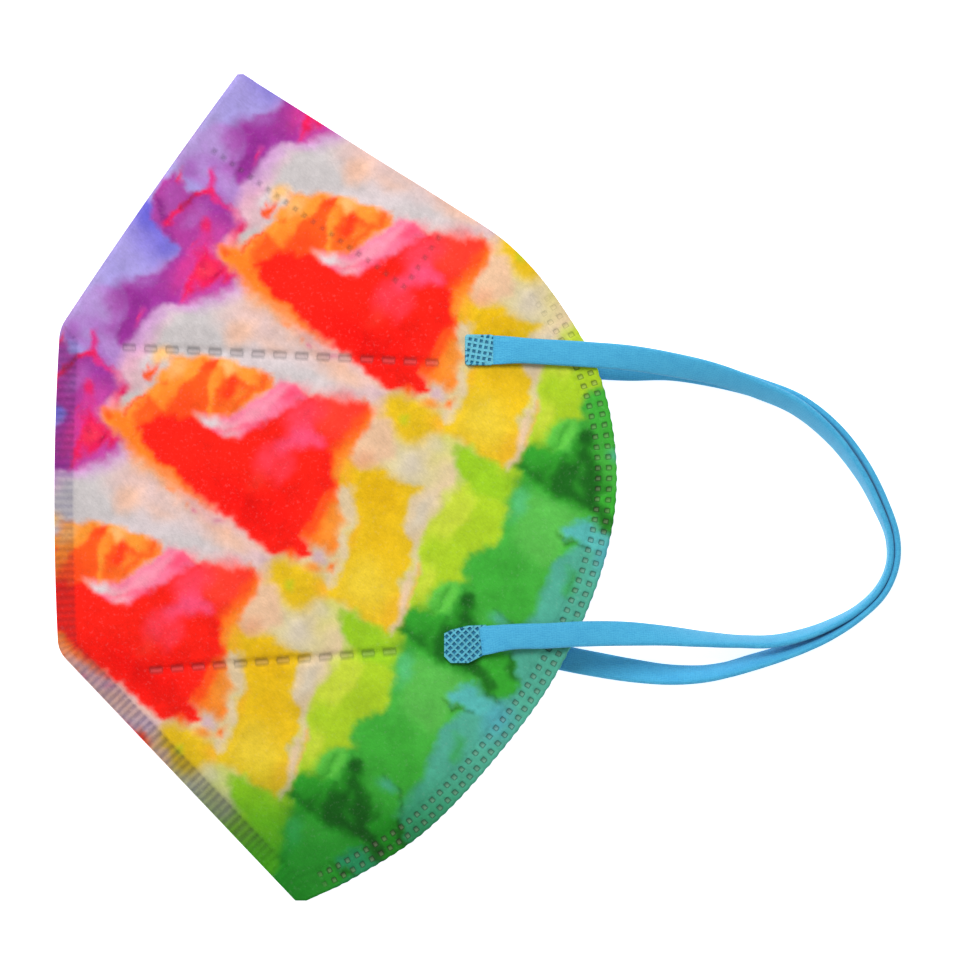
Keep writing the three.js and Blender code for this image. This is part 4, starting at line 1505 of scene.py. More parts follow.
NEAR_NET = NetPlan(
    step=0.47,
    mark_step=0.32,
    hem_beats=(0, 0.3, 0.55, 0.85, 1.25, 1.55, 1.8),
    hem_rows=(0.35, 0.7, 0.95, 1.3, 1.65, 1.9, 2.35, 2.8, 3.05, 3.4, 3.75, 4.0, 4.4, 4.7, 5.0),
)
FAR_NET = NetPlan(
    step=1.6,
    mark_step=0.6,
    hem_beats=(0, 0.45, 1.05, 1.65),
    hem_rows=NEAR_NET.hem_rows[1::2],
)


@dataclass
class FoldedShell:
    """The printed laminate: two halves, folded at the nose, welded along the front and the chin."""

    outline: ShellOutline
    top: float
    node: str = "folded_shell"
    # the laminate and its joined edges
    wall: float = 1.2
    weld_thickness: float = 1.4
    weld_width: float = 3.1
    weld_step: float = 0.8
    weld_start: float = 1.0
    weld_run: float = 4.0
    fold_edge: float = 0.7
    join_margin: float = 0.7
    fold_join: float = 1.0
    slit: float = 0.1
    # the heights of the two halves
    edge_lift: float = 1.9
    seam_run: float = 15.0
    cheek_run_start: float = 35.0
    cheek_run: float = 9.0
    puff_run: float = 52.0
    puff_power: float = 2.6
    puff_margin: float = 1.0
    cheek_droop: float = 0.16
    cheek_droop_run: float = 22.0
    broad: Ripple = Ripple((9.5, 12.3), (0.6, -0.4), (0.0, 0.0), 0.16)
    small: Ripple = Ripple((3.9, 4.6), (1.1, 0.0), (0.6, 0.5), 0.05)
    bulge_height: float = 0.35
    bulge_middle: Point = (-12.0, -39.0)
    bulge_reach: Point = (20.0, 5.0)
    calm_start: float = 3.0
    calm_run: float = 8.0
    # the relief
    hem_width: float = 4.4
    hem_step: float = 0.5
    hem_press: float = 0.18
    pocket_shown: float = 0.62
    scallop: float = 0.07
    scallop_start: float = 10.0
    scallop_ramp: float = 15.0
    scallop_end: float = 4.0
    creases: tuple[Crease, ...] = (
        Crease(y=24.7, slope=-0.052, start=-42.0, end=22.0, depth=0.5, width=1.5),
        Crease(y=-32.2, slope=0.083, start=-37.0, end=14.0, depth=0.7, width=1.6),
    )
    marks: PressedLines = field(default_factory=PressedLines)
    dots: HemDots = field(default_factory=HemDots)
    ribs: CrimpRibs = field(default_factory=CrimpRibs)
    tone_and_shade: WeldToneAndShade = field(default_factory=WeldToneAndShade)
    tints: tuple[str, ...] = ("weld", "dash", "dot", "shown")
    # the mesh
    front_step: float = 0.5
    cheek_beats: int = 7
    rib_beats: int = 4
    fold_overlap: float = 4.0
    middle: Point = (-5.0, 0.0)
    round_reach: float = 0.35
    shoulder: float = 0.5
    shoulder_height: float = 0.6
    waist: float = 0.7
    lip: float = 0.16
    tip_steps: int = 9
    seam_start: float = 3.5
    seam_end: float = 5.0
    seam_points: int = 110
    seam_reach: float = 2.0
    seam_space: float = 0.3
    seam_from_cheek: float = 1.2
    part_start: float = 0.4
    part_run: float = 4.0
    inner_step: float = 2.6
    inner_from_cheek: float = 0.9
    inner_from_join: float = 0.8
    flat_area: float = 0.0236

    def __post_init__(self) -> None:
        """Makes the two edges of the outline."""
        self.front = self.outline.front()
        self.cheek = self.outline.cheek()

    # -- heights

    def weld_share(self, y: Array) -> Array:
        """0 on the nose fold, 1 where the front and the chin are welded."""
        return ease((self.outline.front_top[1] + self.weld_start - y) / self.weld_run)

    def join_width(self, y: Array) -> Array:
        """The width of the strip in which the two halves are joined."""
        return mix(self.fold_join, self.weld_width + self.join_margin, self.weld_share(y))

    def far_lift(self, at: Places) -> Array:
        """Height of the far half's outer face above the surface that it lies on.

        Args:
            at: the places.

        Returns:
            The heights.
        """
        seam = ease(1 - (at.from_front - self.join_width(at.y)) / self.seam_run)
        cheek = ease((self.cheek_run_start - at.from_cheek) / self.cheek_run)
        return self.edge_lift * (seam + cheek - seam * cheek)

    def near_rise(self, at: Places) -> Array:
        """Rise of the near half above its seam.

        Args:
            at: the places.

        Returns:
            The heights.
        """
        puff = self.top - self.edge_lift - 2 * self.wall
        run = np.clip((at.from_front - self.join_width(at.y)) / self.puff_run, 0, 1)
        across = 1 - (1 - run) ** 2
        along = 1 - np.abs(at.y / (self.outline.half_length + self.puff_margin)) ** self.puff_power
        droop = 1 - self.cheek_droop * ease(1 - at.from_cheek / self.cheek_droop_run)
        return puff * across * along * droop

    def waves(self, at: Places) -> Array:
        """Slight waves of the soft laminate, with a low bulge below the lower crease.

        Args:
            at: the places.

        Returns:
            The heights.
        """
        run = (at.x - self.bulge_middle[0]) / self.bulge_reach[0]
        rise = (at.y - self.bulge_middle[1]) / self.bulge_reach[1]
        bulge = self.bulge_height * np.exp(-(run**2 + rise**2))
        calm = ease((np.minimum(at.from_front, at.from_cheek) - self.calm_start) / self.calm_run)
        return (self.broad.at(at) + bulge + self.small.at(at)) * calm

    def faces(self, points: Array) -> dict[str, Array]:
        """Heights of the shell's four faces, and the shares that its finish reads.

        Args:
            points: places seen from above, one to a row.

        Returns:
            The heights far_outer, far_inner, near_inner and near_outer, and weld (the weld's tone with
            painted shade), dash, dot and shown.
        """
        at = Places(*points.T, *self.front.nearest(points), *self.cheek.nearest(points))
        weld = self.weld_share(at.y)
        full = ease((at.from_front - self.weld_width * weld) / self.weld_step)
        fin = weld * (1 - full)
        far = self.far_lift(at) + self.wall
        near = self.edge_lift + self.wall + self.near_rise(at) + self.waves(at)
        loft = mix(mix(self.fold_edge, self.weld_thickness, weld) / 2, self.wall, full)
        band = ease((self.hem_width + self.hem_step - at.from_cheek) / self.hem_step)
        dots, shown = self.dots.at(at), self.dots.shown(at)
        dash_depth, dash = self.marks.pressed(self.marks.dashes(), at)
        pocket_depth, pocket = self.marks.pressed(self.marks.dots(), at)
        relief = self.hem_press * band * full + dots * self.dots.depth * band * shown
        relief = relief - self.ribs.rise(at, fin) + (dash_depth + pocket_depth) * full
        crease = sum(crease.at(at) for crease in self.creases)
        return {
            "far_outer": far - loft + relief,
            "far_inner": far,
            "near_inner": np.maximum(near, far + self.slit),
            "near_outer": near + loft - relief - crease * full,
            # weld: the weld's pressed tone with painted shade between its bars and towards the chin
            "weld": self.tone_and_shade.at(at.y, self.ribs.wave(at.front), fin, self.outline.front_bottom[1]),
            "dash": dash * full,
            "dot": np.maximum(dots * band, pocket),
            "shown": mix(self.pocket_shown, shown, band),
        }

    # -- the net of points seen from above

    def boundary(self) -> tuple[Array, int]:
        """The outline's points, front first and then the cheek, both from nose to chin.

        Returns:
            The points, and how many of them are on the front.
        """
        length = self.front.length
        front = self.front.at(np.linspace(0, length, int(length / self.front_step)))
        places = np.arange(0, self.cheek.length, self.dots.pitch / self.cheek_beats)
        start = ease((places - self.dots.start - self.scallop_start) / self.scallop_ramp)
        end = ease((self.cheek.length - places - self.scallop_end) / self.scallop_end)
        wave = self.scallop * (start * end) * np.cos(places * 2 * math.pi / self.dots.pitch)
        cheek = self.cheek.at(places) + self.cheek.left(places) * wave[:, None]
        return np.concatenate([front, cheek]), len(front)

    def band(self, line: Polyline, side: int, along: Array, offsets: tuple[float, ...]) -> Array:
        """A net of points beside an edge: side is 1 to the left of its run, and -1 to the right."""
        base, inward = line.at(along), line.left(along) * side
        return np.concatenate([base + inward * offset for offset in offsets])

    def net(self, plan: NetPlan, edge: Array) -> Array:
        """The points inside the outline: close together at the relief, and a step apart on the panel.

        Args:
            plan: where the points are.
            edge: the outline's points.

        Returns:
            The points.
        """
        pitch = self.dots.pitch
        starts = np.arange(0, self.cheek.length - pitch, pitch)
        beats = (starts[:, None] + np.array(plan.hem_beats)).ravel()
        weld_from = self.front.nearest(np.array([self.outline.front_top]))[1][0] - self.fold_overlap
        ribs = np.arange(weld_from, self.front.length, self.ribs.pitch / self.rib_beats)
        folds = np.arange(0, weld_from, plan.fold_step)
        marks = [mark.net(plan.mark_step) for mark in self.marks.dashes() + self.marks.dots()]
        lines = np.arange(-self.outline.half_length, self.outline.half_length, plan.step * plan.line_share)
        columns = np.arange(-self.outline.half_width, self.outline.half_width, plan.step)
        shift = (np.arange(len(lines)) % 2)[:, None] * plan.step / 2
        layers = [
            self.band(self.cheek, -1, beats, plan.hem_rows),
            self.band(self.front, 1, ribs, plan.fin_offsets),
            self.band(self.front, 1, folds, plan.fold_offsets),
            np.concatenate(marks),
            np.stack([(columns[None] + shift).ravel(), np.repeat(lines, len(columns))], 1),
        ]
        kept = [edge]
        for layer, space in zip(layers, (*plan.spaces, plan.panel_space * plan.step)):
            kept.append(self.thinned(layer, np.concatenate(kept), space, plan.edge_space))
        return np.concatenate(kept[1:])

    def thinned(self, layer: Array, known: Array, space: float, edge_space: float) -> Array:
        """A layer's points, without those outside, at the edge or too close to known ones.

        Args:
            layer: the layer's points.
            known: the points that are there already.
            space: the least distance from them.
            edge_space: the least distance from the edge.

        Returns:
            The points that stay.
        """
        from_edge = np.minimum(self.front.nearest(layer)[0], self.cheek.nearest(layer)[0])
        layer = layer[self.contains(layer) & (from_edge > edge_space)]
        tree = KDTree(len(known))
        for index, (x, y) in enumerate(known):
            tree.insert((x, y, 0), index)
        tree.balance()
        gaps = np.array([tree.find((x, y, 0))[2] for x, y in layer])
        return layer[gaps > space]

    def contains(self, points: Array) -> Array:
        """Which points are inside the outline.

        Args:
            points: the points, one to a row.

        Returns:
            True for each that is inside.
        """
        x, y = points[:, 0], points[:, 1]
        left = np.interp(-y, -self.front.points[:, 1], self.front.points[:, 0])
        right = np.interp(-y, -self.cheek.points[:, 1], self.cheek.points[:, 0])
        return (x > left) & (x < right) & (np.abs(y) < self.outline.half_length)

    def triangles(self, edge: Array, inside: Array) -> Array:
        """Triangles over an outline and the points inside it, anticlockwise seen from above.

        Args:
            edge: the outline's points, anticlockwise.
            inside: the points inside.

        Returns:
            The corners of each triangle, counted over the edge and then the inside points.
        """
        points = np.concatenate([edge, inside])
        ring = [list(range(len(edge)))]
        made = delaunay_2d_cdt([Vector(point) for point in points], [], ring, 1, 1e-6, True)
        names = np.array([owner[0] if owner else -1 for owner in made[3]])
        corners = names[np.array(made[2])]
        a, b, c = (points[corners[:, k]] for k in range(3))
        area = (b[:, 0] - a[:, 0]) * (c[:, 1] - a[:, 1]) - (b[:, 1] - a[:, 1]) * (c[:, 0] - a[:, 0])
        corners[area < 0] = corners[area < 0][:, ::-1]
        # a triangle between three points of the edge is outside it if they run clockwise or in line
        steps = (np.roll(corners, -1, 1) - corners) % len(edge)
        outside = (corners < len(edge)).all(1) & ((steps.sum(1) > len(edge)) | (np.abs(area) < 1e-5))
        return corners[~outside & (corners >= 0).all(1)]

    # -- the mesh

    def build(self) -> bpy.types.Object:
        """Makes the shell's mesh, dresses it and gives it its place in the frame.

        Returns:
            The shell.
        """
        edge, fronts = self.boundary()
        ring = np.concatenate([np.arange(fronts), np.arange(fronts, len(edge))[::-1]])
        stack = MeshStack()
        starts, rims = [], []
        for face, plan in (("near_outer", NEAR_NET), ("far_outer", FAR_NET)):
            inside = self.net(plan, edge)
            flat = np.concatenate([edge, inside])
            names = np.concatenate([ring, np.arange(len(edge), len(flat))])
            faces = self.faces(flat)
            starts.append(stack.add(flat, faces[face]))
            stack.cover(starts[-1] + names[self.triangles(edge[ring], inside)], face == "far_outer", 0, {})
            rims.append(faces)
            for name in self.tints:
                stack.values.setdefault(name, []).append(faces[name])
        rim = {name: values[: len(edge)] for name, values in rims[0].items()}
        self.close(stack, edge, fronts, starts, rim)
        log.info("%s: %d points, %d faces", self.node, stack.count, len(stack.faces))
        return self.dress(stack, slice(starts[1], starts[1] + len(rims[1]["weld"])))

    def outward(self, edge: Array, fronts: int) -> Array:
        """The outward directions at the outline's points.

        Args:
            edge, fronts: the outline's points, and how many of them are on the front.

        Returns:
            The directions, of length 1.
        """
        normals = np.empty_like(edge)
        for part in (slice(0, fronts), slice(fronts, len(edge))):
            run = np.gradient(edge[part], axis=0)
            normals[part] = np.stack([-run[:, 1], run[:, 0]], 1) / np.linalg.norm(run, axis=1, keepdims=True)
        normals[((edge - np.array(self.middle)) * normals).sum(1) < 0] *= -1
        return normals

    def close(
        self, stack: "MeshStack", edge: Array, fronts: int, starts: list[int], rim: dict[str, Array]
    ) -> None:
        """Adds the rounded edges and the two inner faces.

        Args:
            stack: the mesh so far.
            edge, fronts: the outline's points, and how many of them are on the front.
            starts: where the near sheet's points start, and the far sheet's.
            rim: the heights of the four faces over the outline's points.
        """
        near, far = starts
        count = len(edge)
        normals = self.outward(edge, fronts)
        middle = (rim["near_outer"] + rim["far_outer"]) / 2
        bulge = np.minimum(rim["near_outer"] - middle, self.round_reach)[:, None]
        shoulder = edge + normals * bulge * self.shoulder
        upper = stack.add(shoulder, mix(middle, rim["near_outer"], self.shoulder_height))
        waist = stack.add(edge + normals * bulge * self.waist, middle)
        lower = stack.add(shoulder, mix(middle, rim["far_outer"], self.shoulder_height))
        # round the free cheek edge of each half
        first, last = fronts + self.tip_steps, count - self.tip_steps - 1
        free = np.arange(first, last + 1)
        lips = (edge + normals * self.lip)[free]
        stack.move(upper + free, lips, ((rim["near_outer"] + rim["near_inner"]) / 2)[free])
        stack.move(lower + free, lips, ((rim["far_outer"] + rim["far_inner"]) / 2)[free])
        top_edge, bottom_edge = self.add_lining(stack, edge[first : last + 1])
        stack.strip(near + free, upper + free, 0, False)
        stack.strip(upper + free, top_edge, 1, False)
        stack.strip(bottom_edge, lower + free, 1, False)
        stack.strip(lower + free, far + free, 0, False)
        # the closed edges: the tips of the cheek, and the front
        stack.same |= {int(waist + first): int(top_edge[0]), int(waist + last): int(top_edge[-1])}
        rows = (near, upper, waist, lower, far)
        for run, flip in (
            (np.arange(fronts, first + 1), False),
            (np.arange(last, count), False),
            (np.arange(fronts), True),
            (np.array((0, fronts)), False),
            (np.array((fronts - 1, count - 1)), True),
        ):
            for row, following in zip(rows[:-1], rows[1:]):
                stack.strip(row + run, following + run, 0, flip)

    def add_lining(self, stack: "MeshStack", free: Array) -> tuple[Array, Array]:
        """Adds the two inner faces, which are joined along the seam.

        Args:
            stack: the mesh so far.
            free: the outline's points along the free cheek edge.

        Returns:
            The points of the near and of the far inner face along that edge, from nose to chin.
        """
        seam = self.seam_line(free[0], free[-1])
        loop = np.concatenate([seam, free[::-1][1:-1]])
        inner = self.inner_points(loop)
        corners = self.triangles(loop, inner)
        flat = np.concatenate([loop, inner])
        faces = self.faces(flat)
        apart = ease(self.front.nearest(flat)[0] / self.part_run - self.part_start)
        top = stack.add(flat, mix(faces["far_inner"], faces["near_inner"], apart))
        bottom = stack.add(flat, faces["far_inner"])
        stack.cover(top + corners, True, 1, {})
        stack.cover(bottom + corners, False, 1, {bottom + k: top + k for k in range(len(seam))})
        along = np.concatenate([[0], np.arange(len(loop) - 1, len(seam) - 1, -1), [len(seam) - 1]])
        top_edge, bottom_edge = top + along, bottom + along
        bottom_edge[0], bottom_edge[-1] = top_edge[0], top_edge[-1]
        return top_edge, bottom_edge

    def seam_line(self, first: Array, last: Array) -> Array:
        """The line inside the shell along which its two inner faces meet, from nose to chin.

        Args:
            first, last: the free cheek edge's two ends.

        Returns:
            The line's points.
        """
        places = np.linspace(self.seam_start, self.front.length - self.seam_end, self.seam_points)
        base = self.front.at(places)
        line = base + self.front.left(places, self.seam_reach) * self.join_width(base[:, 1])[:, None]
        steps = np.linalg.norm(np.diff(line, axis=0), axis=1)
        line = line[np.concatenate([[True], steps > self.seam_space])]
        clear = self.contains(line) & (self.cheek.nearest(line)[0] > self.seam_from_cheek)
        return np.concatenate([[first], line[clear], [last]])

    def inner_points(self, loop: Array) -> Array:
        """Widely spaced points inside a loop.

        Args:
            loop: the loop's points.

        Returns:
            The points inside.
        """
        columns, rows = (np.arange(*ends, self.inner_step) for ends in zip(loop.min(0), loop.max(0)))
        grid = np.stack([line.ravel() for line in np.meshgrid(columns, rows)], 1)
        clear = self.contains(grid) & (self.cheek.nearest(grid)[0] > self.inner_from_cheek)
        from_join = self.front.nearest(grid)[0] - self.join_width(grid[:, 1])
        return grid[clear & (from_join > self.inner_from_join)]

    def dress(self, stack: "MeshStack", far: slice) -> bpy.types.Object:
        """Turns the stack into an object with its print, painted shade towards the chin, finishes and place.

        Args:
            stack: the mesh.
            far: the far sheet's points.

        Returns:
            The shell.
        """
        shell = stack.object(self.node + "_cloth")
        shell.data.materials.append(PrintedCloth().material())
        shell.data.materials.append(LiningCloth().material())
        flat = np.concatenate(stack.blocks)[:, :2]
        flat[far] = self.across_fold(flat[far])
        dye = TieDye()
        colours = dye.colours(*dye.chart_place(flat[:, 0], flat[:, 1]))
        # painted shade: the dye gets darker towards the chin's tip
        colours *= 1 - self.tone_and_shade.chin(flat[:, 1])[:, None] * (1 - np.array(linear(self.tone_and_shade.chin_shade_colour)[:3]))
        filled = np.column_stack([np.clip(colours, 0, 1), np.ones(len(colours))])
        write_points(shell.data, "dye", "FLOAT_COLOR", "color", filled)
        for name, values in stack.values.items():
            tints = np.concatenate(values)
            write_points(shell.data, name, "FLOAT", "value", np.pad(tints, (0, len(flat) - len(tints))))
        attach(shell, BODY)
        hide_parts(self.node)
        return shell

    def across_fold(self, flat: Array) -> Array:
        """Where points of the far half lie on the unfolded cloth: mirrored in the nose fold.

        Args:
            flat: the points.

        Returns:
            Their places on the cloth.
        """
        start = np.array([self.outline.nose_tip, self.outline.half_length])
        run = np.array(self.outline.front_top) - start
        run = run / np.linalg.norm(run)
        offset = flat - start
        return start + 2 * (offset @ run)[:, None] * run - offset


class MeshStack:
    """A mesh that is put together from sheets and strips that share points."""

    def __init__(self) -> None:
        """Starts an empty mesh."""
        self.blocks: list[Array] = []
        self.count = 0
        self.faces: list[tuple[int, ...]] = []
        self.slots: list[int] = []
        self.values: dict[str, list[Array]] = {}
        self.same: dict[int, int] = {}

    def add(self, flat: Array, height: Array) -> int:
        """Adds points.

        Args:
            flat, height: their places seen from above, and their heights.

        Returns:
            The number of the first.
        """
        self.blocks.append(np.column_stack([flat, height]))
        self.count += len(flat)
        return self.count - len(flat)

    def move(self, which: Array, flat: Array, height: Array) -> None:
        """Moves points that are there already.

        Args:
            which: their numbers.
            flat, height: their new places seen from above, and their new heights.
        """
        start = 0
        for block in self.blocks:
            inside = (which >= start) & (which < start + len(block))
            rows = which[inside] - start
            block[rows, :2], block[rows, 2] = flat[inside], height[inside]
            start += len(block)

    def cover(self, corners: Array, down: bool, slot: int, same: dict[int, int]) -> None:
        """Adds triangles over points that are there already.

        Args:
            corners: the corners of each triangle, anticlockwise from above.
            down: whether they face down.
            slot: their material.
            same: points to use in place of others.
        """
        for triangle in corners.tolist():
            face = tuple(same.get(corner, corner) for corner in triangle)
            self.faces.append(face[::-1] if down else face)
            self.slots.append(slot)

    def strip(self, first: Array, second: Array, slot: int, flip: bool) -> None:
        """Joins two rows of points by quads.

        Args:
            first, second: the numbers of the rows' points.
            slot: the quads' material.
            flip: whether they face the other way.
        """
        for corners in zip(*(row.tolist() for row in (first[:-1], first[1:], second[1:], second[:-1]))):
            self.faces.append(corners[::-1] if flip else corners)
            self.slots.append(slot)

    def object(self, name: str) -> bpy.types.Object:
        """The stack as a Blender object.

        Args:
            name: its name.

        Returns:
            The object.
        """
        faces, slots = [], []
        for face, slot in zip(self.faces, self.slots):
            named = [self.same.get(corner, corner) for corner in face]
            clean = [corner for k, corner in enumerate(named) if corner != named[k - 1]]
            if len(clean) > 2:
                faces.append(clean)
                slots.append(slot)
        made = smooth_object(name, np.concatenate(self.blocks), faces)
        made.data.polygons.foreach_set("material_index", slots)
        return made


def smooth_object(name: str, points: Array, faces: list) -> bpy.types.Object:
    """A smooth-shaded object in the scene.

    Args:
        name: its name.
        points: its points, in millimetres.
        faces: the corners of each face.

    Returns:
        The object.
    """
    mesh = bpy.data.meshes.new(name)
    mesh.from_pydata((points * MM).tolist(), [], faces)
    mesh.polygons.foreach_set("use_smooth", [True] * len(faces))
    made = bpy.data.objects.new(name, mesh)
    bpy.context.scene.collection.objects.link(made)
    return made


def write_points(mesh: bpy.types.Mesh, name: str, kind: str, key: str, values: Array) -> None:
    """Writes an attribute of the given kind, whose value at each point goes under the key."""
    layer = mesh.attributes.new(name, kind, "POINT")
    layer.data.foreach_set(key, values.astype(np.float32).ravel())


def write_uv(mesh: bpy.types.Mesh, name: str, places: Array) -> None:
    """Writes a UV map from a place for each point.

    Args:
        mesh: the mesh.
        name: the map's name.
        places: the places, one to a row.
    """
    corners = np.empty(len(mesh.loops), np.int32)
    mesh.loops.foreach_get("vertex_index", corners)
    mesh.uv_layers.new(name=name).data.foreach_set("uv", places[corners].astype(np.float32).ravel())


# ---------------------------------------------------------------- pads


@dataclass(frozen=True)
class Plane:
    """The top of a pad, where a strap's end lands."""

    middle: Vector
    normal: Vector

    def height(self, x: float, y: float) -> float:
        """How high it is at a place."""
        run = self.normal.x * (x - self.middle.x) + self.normal.y * (y - self.middle.y)
        return self.middle.z - run / self.normal.z


@dataclass(frozen=True)
class PressedPad:
    """A strap's end, pressed to a waffle and welded to the cloth where the construction has its pad.

    Each side is a direction in degrees and a distance from the pad's middle.
    """

    node: str
    sides: tuple[Point, ...]
    waffle_turn: float
    pitch: float
    bar: float
    border: float
    slope: float = 0.1
    depth: float = 0.34
    thickness: float = 1.1
    rim: float = 0.16
    rim_share: float = 0.7
    grid_margin: float = 1.5
    level: float = 0.8
    smooth_angle: float = 35.0
    cells: PressedElastic = PressedElastic("pressed_cells", (26, 118, 158), 0.6)

    def top(self) -> Plane:
        """The outer face of the construction's pad.

        Returns:
            Its middle and direction.
        """
        outward = -1.0 if self.node.startswith("far") else 1.0
        faces = bpy.data.objects[self.node].data.polygons
        chosen = [face for face in faces if face.normal.z * outward > self.level]
        area = sum(face.area for face in chosen)
        middle = sum((face.center * face.area for face in chosen), Vector()) / area / MM
        return Plane(middle, sum((face.normal * face.area for face in chosen), Vector()).normalized())

    def press(self) -> None:
        """Sinks each cell of the grid between its bars, and gives its floor the second material."""
        bpy.ops.mesh.inset(use_boundary=True, use_individual=True, thickness=self.bar / 2 * MM, depth=0)
        bpy.ops.mesh.inset(use_individual=True, thickness=self.slope * MM, depth=-self.depth * MM)
        bpy.context.object.active_material_index = 1
        bpy.ops.object.material_slot_assign()

    def trim(self) -> None:
        """Cuts the grid along the pad's sides, inside its border."""
        for direction, distance in self.sides:
            angle = math.radians(direction)
            outward = Vector((math.cos(angle), math.sin(angle), 0))
            place = outward * (distance - self.border) * MM
            bpy.ops.mesh.select_all(action="SELECT")
            bpy.ops.mesh.bisect(plane_co=place, plane_no=outward, clear_outer=True, threshold=1e-6)

    def grow(self, outward: float, down: float) -> None:
        """Extrudes the open rim.

        Args:
            outward, down: how far it goes each way.
        """
        share = 1 + outward / (sum(distance for _, distance in self.sides) / len(self.sides))
        bpy.ops.mesh.extrude_region_move(TRANSFORM_OT_translate={"value": (0, 0, -down * MM)})
        bpy.ops.transform.resize(value=(share, share, 1), center_override=(0, 0, 0))

    def edge(self) -> None:
        """Levels the open rim, and grows it outward, round and down to the cloth."""
        bpy.ops.mesh.select_mode(type="EDGE")
        bpy.ops.mesh.select_all(action="DESELECT")
        others = dict.fromkeys(("use_wire", "use_multi_face", "use_non_contiguous", "use_verts"), False)
        bpy.ops.mesh.select_non_manifold(use_boundary=True, **others)
        bpy.ops.transform.resize(value=(1, 1, 0), center_override=(0, 0, 0))
        bpy.context.object.active_material_index = 0
        self.grow(self.border - self.rim, 0)
        self.grow(self.rim * self.rim_share, self.rim * (1 - self.rim_share))
        self.grow(self.rim * (1 - self.rim_share), self.rim * self.rim_share)
        self.grow(0, self.thickness - self.rim)
        bpy.ops.mesh.edge_face_add()

    def build(self) -> bpy.types.Object:
        """Makes the pad flat, then lays it on the construction's.

        Returns:
            The pad.
        """
        top = self.top()
        count = 2 * math.ceil(max(distance for _, distance in self.sides) * self.grid_margin / self.pitch)
        turn = (0, 0, math.radians(self.waffle_turn))
        size = count * self.pitch * MM
        deselect()
        bpy.ops.mesh.primitive_grid_add(x_subdivisions=count, y_subdivisions=count, size=size, rotation=turn)
        pad = bpy.context.object
        pad.name = pad.data.name = self.node + "_pressed"
        bpy.ops.object.transform_apply(location=False, rotation=True, scale=False)
        for finish in (PressedElastic(), self.cells):
            pad.data.materials.append(finish.material())
        bpy.ops.object.mode_set(mode="EDIT")
        bpy.ops.mesh.select_all(action="SELECT")
        self.press()
        self.trim()
        self.edge()
        bpy.ops.mesh.select_all(action="SELECT")
        bpy.ops.mesh.normals_make_consistent(inside=False)
        bpy.ops.object.mode_set(mode="OBJECT")
        bpy.ops.object.shade_smooth_by_angle(angle=math.radians(self.smooth_angle))
        flip = Matrix.Rotation(math.pi, 4, "X") if top.normal.z < 0 else Matrix()
        upright = Vector((0, 0, -1 if top.normal.z < 0 else 1))
        lean = upright.rotation_difference(top.normal).to_matrix().to_4x4()
        pad.matrix_world = Matrix.Translation(top.middle * MM) @ lean @ flip
        deselect()
        pad.select_set(True)
        bpy.context.view_layer.objects.active = pad
        bpy.ops.object.transform_apply()
        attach(pad, BODY)
        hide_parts(self.node)
        log.info("%s: %d faces", self.node, len(pad.data.polygons))
        return pad


UPPER_SIDES: tuple[Point, ...] = (
    (0, 3.35), (75, 3.3), (90, 3.05), (135, 4.15), (180, 3.4), (225, 4.1), (270, 3.0), (285, 3.25),
)
LOWER_SIDES: tuple[Point, ...] = (
    (0, 3.9), (92, 3.5), (104, 3.3), (118, 3.7), (180, 4.1), (224, 4.55), (270, 3.6), (297, 3.45),
)


# ---------------------------------------------------------------- ear loops


